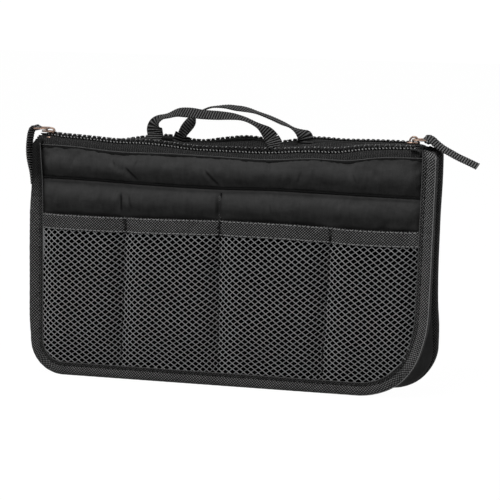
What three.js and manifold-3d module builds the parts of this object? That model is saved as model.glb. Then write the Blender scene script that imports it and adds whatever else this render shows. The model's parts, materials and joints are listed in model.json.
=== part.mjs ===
import * as THREE from 'three';
import { mergeVertices } from 'three/addons/utils/BufferGeometryUtils.js';
import Module from 'manifold-3d';

// A purse organizer insert: two flat zipped pouches, front and rear, joined by a gusset.
// Lengths are in millimetres. X runs along the width, Z is up, and the front face looks along -Y.
// A layer's place is its distance from the centre plane Y = 0, the same for both pouches.

const wasm = await Module();
wasm.setup();

// Outline of a pouch, seen from the front
const bodyWidth = 290;
const cornerRadius = 30;
const leastRadius = 1;
const wallTop = 166;
const innerWallRise = 3.8;
const slipPocketTop = 141;
const hemHeight = 11;
const hemTop = 117.5;
const hemFold = 0.3;

// Layers, from the centre compartment outwards
const centreHalfGap = 4;
const innerWallThickness = 1.4;
const pouchCavity = 9;
const liningThickness = 0.5;
const foamThickness = 1.8;
const skinThickness = 0.5;
const slipPocketThickness = 1.6;
const netThickness = 0.8;
const flatPocketThickness = 0.8;
const hemThickness = 0.6;
const layerGap = 0.3;

// Binding tape round the sides and the bottom
const bindingWidth = 10;
const bindingThickness = 0.8;
const bindingRise = 3.5;

// The inner wall's sides and bottom, drawn in towards the seam
const drawnRun = 14;
const drawnMargin = 1;

// Centre gusset
const gussetInset = 3;
const gussetThickness = 0.8;

// Net pocket: the seams that divide it, and its gaps
const netSeamShares = [0.222, 0.481, 0.767];
const netSeamWidth = 3;
const netColumns = [4, 4, 5, 4];
const netRows = 15;
const netStrand = 1.3;
const netMargin = 2;

// Zip: chain, tapes and end tabs
const zipRise = 7;
const zipLeftInset = 5;
const zipRightInset = 15.5;
const toothPitch = 3.5;
const toothGap = 0.9;
const toothReach = 0.9;
const chainSlit = 1;
const spineWidth = 1.2;
const chainHeight = 2.4;
const tapeThickness = 0.6;
const tapeLip = 1.4;
const tapeMargin = 8;
const tabLength = 4.5;
const leftTabLength = 2.7;

// Slider with its bail
const sliderLength = 9;
const plateThickness = 1.2;
const flangeThickness = 0.8;
const sliderWeb = 0.5;
const sliderClearance = 0.3;
const tapeSlot = 1.2;
const bailSpan = 5.2;
const bailRise = 3.3;
const bailWire = 1.1;

// Pull ring and webbing pull
const webbingWidth = 9.4;
const ringReach = 9.5;
const ringSideGap = 0.3;
const ringBar = 1.2;
const ringInnerCorner = 0.8;
const ringLift = 1.4;
const pullLength = 42;
const pullThickness = 1.5;
const pullEyeWall = 1.05;
// How far each pull hangs below level, in degrees
const frontPullAngle = 90;
const rearPullAngle = 30;

// Handles: their straps, and the ends sewn to the inner walls
const strapThickness = 1.4;
const handleLift = 2;
const handlePlay = 0.1;
const anchorLength = 25;
const frontHandle = { left: -57, right: 27.5, rise: 16 };
const rearHandle = { left: -40, right: 50, rise: 22 };

// Stations along each strap: share of the span, of the rise and of the webbing's width.
const frontStrapShares = [
  [0, 0, 1], [0, 0.15, 1], [-0.02, 0.5, 1], [0.035, 0.81, 0.85], [0.22, 0.98, 0.6],
  [0.59, 0.9, 0.58], [0.8, 0.76, 0.62], [0.93, 0.44, 0.85], [1, 0.15, 1], [1, 0, 1],
];
const rearStrapShares = [
  [0, 0, 1], [0, 0.12, 1], [0.08, 0.32, 0.9], [0.14, 0.68, 0.7], [0.22, 0.89, 0.5], [0.39, 0.98, 0.4],
  [0.56, 0.89, 0.5], [0.69, 0.7, 0.6], [0.82, 0.46, 0.8], [0.97, 0.16, 0.95], [1, 0, 1],
];

// Arcs and overruns
const cornerSteps = 6;
const drawnSteps = 4;
const tubeSides = 6;
const bailSteps = 8;
const eyeSteps = 10;
const strapSteps = 3;
const overrun = 5;
const mergeDistance = 1e-4;

// Places that follow from the sizes above
const innerWallTop = wallTop + innerWallRise;
const bindingTop = wallTop + bindingRise;
const zipHeight = wallTop + zipRise;
const handleBase = zipHeight + handleLift;
const netTop = hemTop - hemFold;
const chainLeft = zipLeftInset - bodyWidth / 2;
const chainRight = bodyWidth / 2 - zipRightInset;
const innerWallNear = centreHalfGap;
const liningNear = innerWallNear + innerWallThickness + pouchCavity;
const foamNear = liningNear + liningThickness + layerGap;
const skinNear = foamNear + foamThickness + layerGap;
const slipPocketNear = skinNear + skinThickness + layerGap;
const netNear = slipPocketNear + slipPocketThickness + layerGap;
const hemNear = netNear + netThickness + layerGap;
const seamFlangeNear = liningNear - layerGap - innerWallThickness;
const bindingSlotNear = seamFlangeNear - layerGap;
const bindingNear = bindingSlotNear - bindingThickness;
const bindingDepth = hemNear + bindingThickness - bindingNear;
const panelInset = bindingThickness + layerGap;
const foamTop = wallTop - tapeMargin;
const gussetHalfDepth = bindingNear - layerGap;
const tapeSeat = foamNear + (foamThickness - tapeThickness) / 2;
const innerTapeSeat = innerWallNear + innerWallThickness / 2;
const zipDistance = (innerTapeSeat + tapeSeat + tapeThickness / 2) / 2;
const chainHalf = chainSlit / 2 + toothReach + spineWidth;
const sliderHalf = chainHalf + sliderClearance + flangeThickness;
const sliderTop = zipHeight + chainHeight / 2 + sliderClearance + plateThickness;
const frontSliderPlace = chainLeft + sliderLength / 2;
const rearSliderPlace = chainRight - layerGap - sliderLength / 2;
const ringHeight = sliderTop + ringLift;
const ringInnerWidth = webbingWidth + 2 * ringSideGap;
const ringCorner = ringInnerCorner + ringBar;
const pullBore = ringBar * Math.SQRT1_2 + layerGap;
const pullEyeRadius = pullBore + pullEyeWall;
const strapNear = innerWallNear - layerGap - strapThickness;
const handleGap = strapThickness / 2 + handlePlay;

// Materials
function fabric(color, roughness) {
  return new THREE.MeshStandardMaterial({ color, roughness, metalness: 0 });
}
const satin = fabric(0x2a2a2c, 0.5);
const foam = fabric(0x55565a, 0.95);
const lining = fabric(0x222224, 0.7);
const twill = fabric(0x3b3b3d, 0.85);
const netting = fabric(0x77777a, 0.8);
const zipTape = fabric(0x303032, 0.85);
const webbing = fabric(0x2e2e30, 0.8);
const toothPlastic = fabric(0x18181a, 0.4);
const copper = new THREE.MeshStandardMaterial({ color: 0x8b6c55, roughness: 0.35, metalness: 0.9 });

// Turns a profile drawn in Y and Z upright, with its depth along X.
const alongX = new THREE.Matrix4().makeBasis(
  new THREE.Vector3(0, 1, 0), new THREE.Vector3(0, 0, 1), new THREE.Vector3(1, 0, 0));

// Turns a closed geometry into a solid that can be cut and joined.
function solid(geometry) {
  const bare = geometry.clone();
  bare.deleteAttribute('normal');
  bare.deleteAttribute('uv');
  const merged = mergeVertices(bare, mergeDistance);
  return new wasm.Manifold(new wasm.Mesh({
    numProp: 3,
    vertProperties: new Float32Array(merged.attributes.position.array),
    triVerts: new Uint32Array(merged.index.array),
  }));
}

// Turns a solid back into a geometry.
function geometryOf(body) {
  const mesh = body.getMesh();
  const geometry = new THREE.BufferGeometry();
  geometry.setAttribute('position', new THREE.BufferAttribute(mesh.vertProperties, 3));
  geometry.setIndex(new THREE.BufferAttribute(mesh.triVerts, 1));
  geometry.computeVertexNormals();
  return geometry;
}

// A pouch outline: straight sides and top, and round lower corners.
function pouchOutline(sideInset, bottomInset, top) {
  const half = bodyWidth / 2 - sideInset;
  const radius = Math.max(cornerRadius - sideInset, leastRadius);
  const centreX = half - radius;
  const centreZ = bottomInset + radius;
  const shape = new THREE.Shape();
  shape.moveTo(half, top);
  shape.lineTo(-half, top);
  shape.absarc(-centreX, centreZ, radius, Math.PI, 1.5 * Math.PI, false);
  shape.absarc(centreX, centreZ, radius, 1.5 * Math.PI, 2 * Math.PI, false);
  shape.closePath();
  return shape;
}

// An upright rectangle given by its left, right, bottom and top.
function rectangle(left, right, bottom, top) {
  const shape = new THREE.Shape();
  shape.moveTo(left, bottom);
  shape.lineTo(right, bottom);
  shape.lineTo(right, top);
  shape.lineTo(left, top);
  shape.closePath();
  return shape;
}

// A closed outline through a list of points.
function outlineOf(points) {
  return new THREE.Shape(points.map(([x, y]) => new THREE.Vector2(x, y)));
}

function extrude(shape, depth, curveSegments = cornerSteps) {
  return new THREE.ExtrudeGeometry(shape, { depth, bevelEnabled: false, curveSegments });
}

function named(name, geometry, material) {
  const mesh = new THREE.Mesh(geometry, material);
  mesh.name = name;
  return mesh;
}

// Stands a piece drawn in X and Z upright. Its depth runs outwards from `near` on that side.
function layer(name, geometry, material, near, depth, side) {
  const mesh = named(name, geometry, material);
  mesh.rotation.x = Math.PI / 2;
  mesh.position.y = side < 0 ? -near : near + depth;
  return mesh;
}

// A profile drawn in Y and Z, carried along X from `left` to `right`.
function rail(name, shape, material, left, right) {
  const mesh = named(name, extrude(shape, right - left), material);
  mesh.quaternion.setFromRotationMatrix(alongX);
  mesh.position.x = left;
  return mesh;
}

// A solid through a stack of outlines that have as many points each, closed at both ends.
function stackedOutlines(rings) {
  const positions = [];
  const index = [];
  const count = rings[0].points.length;
  for (const ring of rings) {
    for (const point of ring.points) {
      positions.push(point.x, point.y, ring.depth);
    }
  }
  for (let level = 0; level + 1 < rings.length; level += 1) {
    for (let i = 0; i < count; i += 1) {
      const a = level * count + i;
      const b = level * count + (i + 1) % count;
      index.push(a, b, b + count, a, b + count, a + count);
    }
  }
  const last = (rings.length - 1) * count;
  for (const [a, b, c] of THREE.ShapeUtils.triangulateShape(rings[0].points, [])) {
    index.push(a, c, b);
  }
  for (const [a, b, c] of THREE.ShapeUtils.triangulateShape(rings[rings.length - 1].points, [])) {
    index.push(last + a, last + b, last + c);
  }
  const geometry = new THREE.BufferGeometry();
  geometry.setAttribute('position', new THREE.Float32BufferAttribute(positions, 3));
  geometry.setIndex(index);
  return geometry;
}

// Outline points in their turning order, without the repeated last point.
function ringPoints(shape) {
  return shape.getPoints(cornerSteps).slice(0, -1);
}

// Rings of the drawn-in wall: flat in the middle, easing out to the seam at its sides and bottom.
// The ease follows half a cosine wave over drawnSteps.
function drawnRings(extraInset, extraDepth, top) {
  const rings = [];
  const rise = seamFlangeNear - innerWallNear;
  for (let step = 0; step <= drawnSteps; step += 1) {
    const along = step / drawnSteps;
    const ease = (1 - Math.cos(Math.PI * along)) / 2;
    const inset = bindingWidth + drawnMargin + drawnRun * (1 - along) + extraInset;
    const points = ringPoints(pouchOutline(inset, inset, top));
    rings.push({ points, depth: rise * ease + extraDepth });
  }
  return rings;
}

// Inner wall: a shallow tray whose rim is caught in the binding. A half turn makes the rear one.
function innerWall(name, side) {
  const rise = seamFlangeNear - innerWallNear;
  const outside = drawnRings(0, 0, innerWallTop);
  const shell = solid(stackedOutlines([
    ...outside,
    { points: outside[drawnSteps].points, depth: rise + innerWallThickness },
  ]));
  const rim = solid(extrude(pouchOutline(panelInset, panelInset, innerWallTop), innerWallThickness))
    .translate([0, 0, rise]);
  const inside = drawnRings(innerWallThickness, innerWallThickness, innerWallTop + overrun);
  const hollow = solid(stackedOutlines([
    ...inside,
    { points: inside[drawnSteps].points, depth: rise + innerWallThickness + overrun },
  ]));
  const tray = geometryOf(shell.add(rim).subtract(hollow));
  const turned = new THREE.Group();
  turned.rotation.z = side < 0 ? 0 : Math.PI;
  turned.add(layer(name, tray, lining, innerWallNear, 0, -1));
  return turned;
}

// Binding: a folded tape, open towards the panel edges that it holds.
function binding(name, side) {
  const whole = solid(extrude(pouchOutline(0, 0, bindingTop), bindingDepth));
  const slot = solid(extrude(
    pouchOutline(bindingThickness, bindingThickness, bindingTop + overrun),
    bindingDepth - 2 * bindingThickness)).translate([0, 0, bindingThickness]);
  const window = solid(extrude(
    pouchOutline(bindingWidth, bindingWidth, bindingTop + overrun),
    bindingDepth + 2 * overrun)).translate([0, 0, -overrun]);
  const tape = geometryOf(whole.subtract(slot).subtract(window));
  return layer(name, tape, twill, bindingNear, bindingDepth, side);
}

// Net pocket: one sheet with a diamond gap for each stitch of the lattice, plain along its seams.
function netPocket(name, side) {
  const sheet = pouchOutline(panelInset, panelInset, netTop);
  const half = bodyWidth / 2 - bindingWidth;
  const edges = [0, ...netSeamShares, 1].map((share) => half * (2 * share - 1));
  const bottom = bindingWidth + netMargin;
  const rowPitch = (hemTop - hemHeight - netMargin - bottom) / (netRows + 1);
  netColumns.forEach((columns, pocket) => {
    const left = edges[pocket] + netSeamWidth / 2;
    const pitch = (edges[pocket + 1] - netSeamWidth / 2 - left) / columns;
    for (let row = 0; row < netRows; row += 1) {
      const odd = row % 2;
      for (let column = 0; column < columns - odd; column += 1) {
        const x = left + pitch * (column + (1 + odd) / 2);
        const z = bottom + rowPitch * (row + 1);
        addDiamond(sheet, x, z, (pitch - netStrand) / 2, rowPitch - netStrand / 2);
      }
    }
  });
  return layer(name, extrude(sheet, netThickness), netting, netNear, netThickness, side);
}

// Flat pocket: one plain sheet in the net's place.
function flatPocket(name, side) {
  const sheet = extrude(pouchOutline(panelInset, panelInset, netTop), flatPocketThickness);
  return layer(name, sheet, satin, netNear, flatPocketThickness, side);
}

// Cuts one diamond gap, unless one of its points would reach under the binding's round corner.
function addDiamond(sheet, x, z, halfWidth, halfHeight) {
  const corners = [[x - halfWidth, z], [x, z + halfHeight], [x + halfWidth, z], [x, z - halfHeight]];
  const limit = cornerRadius - bindingWidth - netMargin / 2;
  const hidden = corners.some(([cornerX, cornerZ]) => {
    const beyondX = Math.abs(cornerX) - (bodyWidth / 2 - cornerRadius);
    const beyondZ = cornerRadius - cornerZ;
    return beyondX > 0 && beyondZ > 0 && Math.hypot(beyondX, beyondZ) > limit;
  });
  if (!hidden) {
    sheet.holes.push(outlineOf(corners));
  }
}

// One side of the zip chain: a straight spine with a tooth at every pitch.
// `away` is 1 for the row next to the pocket side and -1 for the row next to the centre.
function toothRow(name, side, away) {
  const spineFar = zipDistance + away * chainHalf;
  const spineNear = zipDistance + away * (chainHalf - spineWidth);
  const tip = zipDistance + away * chainSlit / 2;
  const phase = away > 0 ? toothGap : toothGap + toothPitch / 2;
  const count = Math.floor((chainRight - chainLeft - phase) / toothPitch);
  const points = [[chainLeft, side * spineFar], [chainLeft, side * spineNear]];
  for (let i = 0; i < count; i += 1) {
    const start = chainLeft + phase + i * toothPitch;
    const end = start + toothPitch - toothGap;
    points.push([start, side * spineNear], [start, side * tip]);
    points.push([end, side * tip], [end, side * spineNear]);
  }
  points.push([chainRight, side * spineNear], [chainRight, side * spineFar]);
  const mesh = named(name, extrude(outlineOf(points), chainHeight), toothPlastic);
  mesh.position.z = zipHeight - chainHeight / 2;
  return mesh;
}

// Outer zip tape: level beside the chain, down to the wall, and sewn between skin and lining.
function outerTape(name, side) {
  const lipStart = zipDistance + chainHalf + layerGap;
  const lipEnd = lipStart + tapeLip;
  const half = tapeThickness / 2;
  const foot = foamTop + layerGap;
  const points = [
    [lipStart, zipHeight + half], [lipEnd + half, zipHeight + half],
    [tapeSeat + tapeThickness, wallTop], [tapeSeat + tapeThickness, foot],
    [tapeSeat, foot], [tapeSeat, wallTop],
    [lipEnd - half, zipHeight - half], [lipStart, zipHeight - half],
  ];
  const shape = outlineOf(points.map(([distance, z]) => [side * distance, z]));
  return rail(name, shape, zipTape, chainLeft - leftTabLength, chainRight + tabLength);
}

// Inner zip tape: level beside the chain, then down onto the inner wall's top edge.
function innerTape(name, side) {
  const lipStart = zipDistance - chainHalf - layerGap;
  const lipEnd = lipStart - tapeLip;
  const half = tapeThickness / 2;
  const foot = innerWallTop + layerGap;
  const points = [
    [lipStart, zipHeight + half], [lipEnd - half, zipHeight + half],
    [innerTapeSeat - half, foot], [innerTapeSeat + half, foot],
    [lipEnd + half, zipHeight - half], [lipStart, zipHeight - half],
  ];
  const shape = outlineOf(points.map(([distance, z]) => [side * distance, z]));
  return rail(name, shape, zipTape, chainLeft - leftTabLength, chainRight + tabLength);
}

// Folded tape end that closes the zip beside the last teeth.
function endTab(name, side, left, right) {
  const near = side * (zipDistance - chainHalf);
  const far = side * (zipDistance + chainHalf);
  const low = zipHeight - chainHeight / 2;
  const high = zipHeight + tapeThickness;
  return rail(name, rectangle(Math.min(near, far), Math.max(near, far), low, high), zipTape, left, right);
}

// Slider: two plates with turned-in rims, held together by a thin web that runs in the chain's slit.
function slider(name, side, place) {
  const chainTop = chainHeight / 2 + sliderClearance;
  const plateTop = chainTop + plateThickness;
  const rim = sliderHalf - flangeThickness;
  const slot = tapeSlot / 2;
  const web = sliderWeb / 2;
  const quarter = [
    [sliderHalf, plateTop], [sliderHalf, slot], [rim, slot], [rim, chainTop], [web, chainTop],
  ];
  const lower = quarter.slice().reverse().map(([y, z]) => [y, -z]);
  const right = [...quarter, ...lower];
  const left = right.slice().reverse().map(([y, z]) => [-y, z]);
  const profile = extrude(outlineOf([...right, ...left]), sliderLength);
  profile.applyMatrix4(alongX).translate(-sliderLength / 2, 0, 0);
  const body = solid(profile).add(solid(bail(plateTop)));
  const mesh = named(name, geometryOf(body), copper);
  mesh.position.set(place, side * zipDistance, zipHeight);
  return mesh;
}

// Bail: a wire arch along the slider, with its feet set into the top plate.
function bail(plateTop) {
  const foot = plateTop - plateThickness / 2;
  const path = new THREE.CatmullRomCurve3([
    new THREE.Vector3(-bailSpan / 2, 0, foot),
    new THREE.Vector3(-bailSpan / 2, 0, plateTop + bailRise / 2),
    new THREE.Vector3(0, 0, plateTop + bailRise),
    new THREE.Vector3(bailSpan / 2, 0, plateTop + bailRise / 2),
    new THREE.Vector3(bailSpan / 2, 0, foot),
  ]);
  const wire = new THREE.Shape().absarc(0, 0, bailWire / 2, 0, 2 * Math.PI, false);
  return new THREE.ExtrudeGeometry(wire, {
    steps: bailSteps, extrudePath: path, curveSegments: tubeSides / 2, bevelEnabled: false,
  });
}

// Corner-rounded rectangle as a closed path, for the ring's outside and inside.
function roundedBox(path, left, right, halfWidth, radius) {
  path.moveTo(left + radius, -halfWidth);
  path.lineTo(right - radius, -halfWidth);
  path.absarc(right - radius, -halfWidth + radius, radius, 1.5 * Math.PI, 2 * Math.PI, false);
  path.lineTo(right, halfWidth - radius);
  path.absarc(right - radius, halfWidth - radius, radius, 0, Math.PI / 2, false);
  path.lineTo(left + radius, halfWidth);
  path.absarc(left + radius, halfWidth - radius, radius, Math.PI / 2, Math.PI, false);
  path.lineTo(left, -halfWidth + radius);
  path.absarc(left + radius, -halfWidth + radius, radius, Math.PI, 1.5 * Math.PI, false);
  path.closePath();
  return path;
}

// Pull ring: one bar runs through the bail, the other carries the webbing pull.
function pullRing(name, side, place, outward) {
  const near = -ringBar / 2;
  const far = ringReach + ringBar / 2;
  const left = outward > 0 ? near : -far;
  const right = outward > 0 ? far : -near;
  const shape = roundedBox(new THREE.Shape(), left, right, ringInnerWidth / 2 + ringBar, ringCorner);
  shape.holes.push(roundedBox(
    new THREE.Path(), left + ringBar, right - ringBar, ringInnerWidth / 2, ringInnerCorner));
  const mesh = named(name, extrude(shape, ringBar, cornerSteps / 2), copper);
  mesh.position.set(place, side * zipDistance, ringHeight - ringBar / 2);
  return mesh;
}

// Webbing pull: folded round the ring's far bar, with its two layers sewn into a flat tongue.
function pull(name, side, place, outward, hangAngle) {
  const inner = pullEyeRadius - pullThickness;
  const start = Math.asin(inner / pullEyeRadius);
  const sweep = 1.5 * Math.PI + start;
  const points = [[pullLength, pullEyeRadius], [pullLength, inner]];
  for (let step = 0; step <= eyeSteps; step += 1) {
    const angle = start - sweep * step / eyeSteps;
    points.push([pullEyeRadius * Math.cos(angle), pullEyeRadius * Math.sin(angle)]);
  }
  const shape = outlineOf(points.map(([x, z]) => [outward * x, z]));
  shape.holes.push(new THREE.Path().absarc(0, 0, pullBore, 0, 2 * Math.PI, false));
  const geometry = extrude(shape, webbingWidth, eyeSteps / 2);
  geometry.rotateX(Math.PI / 2).translate(0, webbingWidth / 2, 0);
  const mesh = named(name, geometry, webbing);
  mesh.rotation.y = outward * THREE.MathUtils.degToRad(hangAngle);
  mesh.position.set(place + outward * ringReach, side * zipDistance, ringHeight);
  return mesh;
}

// Outline of a strap through its stations, as wide as the webbing looks where it turns.
function strapOutline(handle, shares) {
  const span = handle.right - handle.left;
  const line = new THREE.CatmullRomCurve3(shares.map(([across, up, broad]) => new THREE.Vector3(
    handle.left + span * across, handleBase + handle.rise * up, webbingWidth * broad)));
  const steps = (shares.length - 1) * strapSteps;
  const upper = [];
  const lower = [];
  for (let i = 0; i <= steps; i += 1) {
    const at = line.getPoint(i / steps);
    const tangent = line.getTangent(i / steps);
    const along = new THREE.Vector2(tangent.x, tangent.y).normalize();
    const ends = i === 0 || i === steps;
    const sideways = ends ? new THREE.Vector2(i ? -1 : 1, 0) : new THREE.Vector2(along.y, -along.x);
    upper.push([at.x - sideways.x * at.z / 2, at.y - sideways.y * at.z / 2]);
    lower.push([at.x + sideways.x * at.z / 2, at.y + sideways.y * at.z / 2]);
  }
  return outlineOf([...upper, ...lower.reverse()]);
}

// Handle: the free arch of a strap, standing on its two sewn ends.
function handleStrap(name, handle, shares, side) {
  const arch = extrude(strapOutline(handle, shares), strapThickness);
  return layer(name, arch, webbing, strapNear, strapThickness, side);
}

// The strap's end, sewn flat against the inner wall, as far below the arch as its fold needs.
function handleEnd(name, place, side) {
  const top = handleBase - handleGap;
  const half = webbingWidth / 2;
  const strip = extrude(rectangle(place - half, place + half, top - anchorLength, top), strapThickness);
  return layer(name, strip, webbing, strapNear, strapThickness, side);
}

// Centre gusset: one strip between the two pouches, down both sides and across the bottom.
function centreGusset(name) {
  const outer = pouchOutline(gussetInset, 0, bindingTop);
  const inner = pouchOutline(gussetInset + gussetThickness, gussetThickness, bindingTop + overrun);
  const depth = 2 * gussetHalfDepth;
  const strip = solid(extrude(outer, depth))
    .subtract(solid(extrude(inner, depth + 2 * overrun)).translate([0, 0, -overrun]));
  return layer(name, geometryOf(strip), lining, -gussetHalfDepth, depth, -1);
}

// One pouch with all that is sewn to it. `names` starts each piece's name.
function pouch(names, side, handle) {
  const group = new THREE.Group();
  const sheet = (name, top, material, near, thickness) => layer(
    `${names}_${name}`, extrude(pouchOutline(panelInset, panelInset, top), thickness), material,
    near, thickness, side);
  const hemHalf = bodyWidth / 2 - bindingWidth - layerGap;
  const hem = rectangle(-hemHalf, hemHalf, hemTop - hemHeight, hemTop);
  group.add(
    innerWall(`${names}_inner_wall`, side),
    sheet('wall_lining', wallTop, lining, liningNear, liningThickness),
    sheet('wall_foam', foamTop, foam, foamNear, foamThickness),
    sheet('wall_skin', wallTop, satin, skinNear, skinThickness),
    sheet('slip_pocket', slipPocketTop, satin, slipPocketNear, slipPocketThickness),
    layer(`${names}_pocket_hem`, extrude(hem, hemThickness), twill, hemNear, hemThickness, side),
    binding(`${names}_binding`, side),
    outerTape(`${names}_zip_outer_tape`, side),
    innerTape(`${names}_zip_inner_tape`, side),
    toothRow(`${names}_zip_outer_teeth`, side, 1),
    toothRow(`${names}_zip_inner_teeth`, side, -1),
    endTab(`${names}_zip_left_tab`, side, chainLeft - leftTabLength, chainLeft - layerGap),
    endTab(`${names}_zip_right_tab`, side, chainRight + layerGap, chainRight + tabLength),
    handleEnd(`${names}_handle_left_end`, handle.left, side),
    handleEnd(`${names}_handle_right_end`, handle.right, side),
  );
  return group;
}

// A slider with its ring and pull, lying out over the nearer end of the zip.
function sliderSet(names, side, place, outward, hangAngle) {
  const group = new THREE.Group();
  group.add(
    slider(`${names}_slider`, side, place),
    pullRing(`${names}_pull_ring`, side, place, outward),
    pull(`${names}_webbing_pull`, side, place, outward, hangAngle),
  );
  return group;
}

const organizer = new THREE.Group();
organizer.add(
  pouch('front', -1, frontHandle),
  netPocket('front_net_pocket', -1),
  sliderSet('front', -1, frontSliderPlace, -1, frontPullAngle),
  handleStrap('front_handle', frontHandle, frontStrapShares, -1),
  pouch('rear', 1, rearHandle),
  flatPocket('rear_flat_pocket', 1),
  sliderSet('rear', 1, rearSliderPlace, 1, rearPullAngle),
  handleStrap('rear_handle', rearHandle, rearStrapShares, 1),
  centreGusset('centre_gusset'),
);

export default organizer;
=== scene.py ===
import json

import bmesh
import bpy
import numpy as np
from mathutils import Matrix, Vector


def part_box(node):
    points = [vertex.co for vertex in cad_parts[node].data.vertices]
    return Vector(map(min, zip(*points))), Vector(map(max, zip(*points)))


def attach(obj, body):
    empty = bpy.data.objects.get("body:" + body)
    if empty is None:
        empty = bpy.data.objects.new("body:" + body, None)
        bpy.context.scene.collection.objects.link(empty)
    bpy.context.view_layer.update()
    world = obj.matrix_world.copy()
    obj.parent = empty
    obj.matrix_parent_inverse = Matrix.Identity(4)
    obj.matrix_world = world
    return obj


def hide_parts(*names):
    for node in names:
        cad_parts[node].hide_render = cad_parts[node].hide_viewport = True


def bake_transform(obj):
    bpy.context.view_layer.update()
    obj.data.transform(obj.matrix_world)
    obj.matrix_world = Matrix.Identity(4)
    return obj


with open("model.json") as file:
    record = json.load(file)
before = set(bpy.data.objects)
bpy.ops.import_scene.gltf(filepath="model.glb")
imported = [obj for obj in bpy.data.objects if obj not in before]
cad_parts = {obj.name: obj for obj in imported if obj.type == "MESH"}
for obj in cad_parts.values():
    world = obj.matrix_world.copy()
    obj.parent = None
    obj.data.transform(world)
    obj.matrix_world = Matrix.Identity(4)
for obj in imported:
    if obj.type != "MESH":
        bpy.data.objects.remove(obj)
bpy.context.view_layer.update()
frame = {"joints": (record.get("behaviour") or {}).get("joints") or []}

bl_info = {
    "name": "Purse Organizer Insert",
    "version": (1, 0, 0),
    "blender": (4, 5, 0),
    "location": "View3D > Sidebar > Organizer",
    "description": "Cloth, net, zips and hardware of a purse organizer insert",
    "category": "Add Mesh",
}

# Places read from the frame, in millimetres. A distance is measured from the centre plane between the
# pouches. LEVEL and ALONG_X are the ways away from that plane and along the width.
MM = 0.001
SIDES = {"front": -1, "rear": 1}
LEVEL = np.array([0.0, 1.0, 0.0])
ALONG_X = np.array([1.0, 0.0, 0.0])


def face(node, axis, end):
    """One side of a CAD node's box: axis X, Y or Z, end 0 for the low side and 1 for the high side."""
    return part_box(node)[end]["XYZ".index(axis)] / MM


HALF = face("rear_binding", "X", 1)
BINDING_TOP = face("rear_binding", "Z", 1)
BINDING_FAR = face("rear_binding", "Y", 1)
BINDING_NEAR = face("rear_binding", "Y", 0)
LINING_NEAR = face("rear_wall_lining", "Y", 0)
SKIN_FAR = face("rear_wall_skin", "Y", 1)
SLIP_NEAR = face("rear_slip_pocket", "Y", 0)
SLIP_FAR = face("rear_slip_pocket", "Y", 1)
SLIP_TOP = face("rear_slip_pocket", "Z", 1)
NET_FAR = face("rear_flat_pocket", "Y", 1)
HEM_TOP = face("rear_pocket_hem", "Z", 1)
HEM_LOW = face("rear_pocket_hem", "Z", 0)
WALL_NEAR = face("rear_inner_wall", "Y", 0)
WALL_RIM = face("rear_inner_wall", "Y", 1)
CHAIN_Z = (face("rear_zip_outer_teeth", "Z", 0) + face("rear_zip_outer_teeth", "Z", 1)) / 2
CHAIN_DISTANCE = (face("rear_zip_inner_teeth", "Y", 0) + face("rear_zip_outer_teeth", "Y", 1)) / 2
CHAIN_LEFT = face("rear_zip_outer_teeth", "X", 0)
CHAIN_RIGHT = face("rear_zip_outer_teeth", "X", 1)
HANDLE_BASE = face("rear_handle", "Z", 0)
HANDLE_DISTANCE = (face("rear_handle", "Y", 0) + face("rear_handle", "Y", 1)) / 2
SEWN_LOW = face("rear_handle_left_end", "Z", 0)
GUSSET_HALF = face("centre_gusset", "Y", 1)
GUSSET_INSET = HALF - face("centre_gusset", "X", 1)
JOINTS = {joint["name"]: joint for joint in frame["joints"]}

# Corner radii as the photograph shows them, left and right, at the binding's outer line
RADII = {"front": (25.0, 50.0), "rear": (28.0, 30.0)}


def joint_place(name):
    return np.array(JOINTS[name]["pos_m"]) / MM


def smooth(t):
    """Eases from 0 to 1: three t squared less two t cubed, held flat outside."""
    t = np.clip(t, 0, 1)
    return t * t * (3 - 2 * t)


def eased(value, start, reach):
    """Eases from 0 at the start to 1 where the reach ends."""
    return smooth((value - start) / reach)


def through(x, stations):
    """A smooth curve through (place, value) stations: cubics whose slopes are the neighbours' mean slopes."""
    places, values = np.array(stations, float).T
    slopes = np.gradient(values, places)
    i = np.clip(np.searchsorted(places, x) - 1, 0, len(places) - 2)
    step = places[i + 1] - places[i]
    t = np.clip((x - places[i]) / step, 0, 1)
    rise = values[i + 1] - values[i]
    bend_in = slopes[i] * step - rise
    bend_out = rise - slopes[i + 1] * step
    return values[i] + rise * t + t * (1 - t) * ((1 - t) * bend_in + t * bend_out)


# Heights of the seams along the width, front and rear, as the soft cloth settles
SEAM_LINE = {
    "front": [(-140, 165.4), (-112, 164.6), (-84, 162.4), (-40, 162.3), (-5, 161.6), (28, 161.0),
              (60, 163.0), (85, 162.8), (105, 165.4), (140, 166.4)],
    "rear": [(-140, 165.6), (-90, 164.2), (-30, 163.0), (20, 162.4), (80, 164.0), (140, 165.8)],
}
CHAIN_LINE = {
    "front": [(-142, 173.0), (-132, 172.9), (-122, 172.0), (-110, 171.3), (-98, 170.5), (-86, 169.6),
              (-64, 169.6), (-48, 168.7), (-30, 167.0), (0, 166.7), (30, 166.9), (56, 168.7), (77, 169.2),
              (92, 171.4), (108, 172.5), (134, 172.9)],
    "rear": [(-142, 170.0), (-120, 168.9), (-100, 167.7), (-86, 168.0), (-72, 170.2), (-52, 172.2),
             (-40, 170.5), (-27, 169.5), (-11, 171.5), (8, 173.8), (20, 172.4), (31, 170.9), (42, 172.6),
             (54, 174.8), (77, 174.2), (98, 174.6), (118, 174.5), (134, 173.4)],
}
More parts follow.
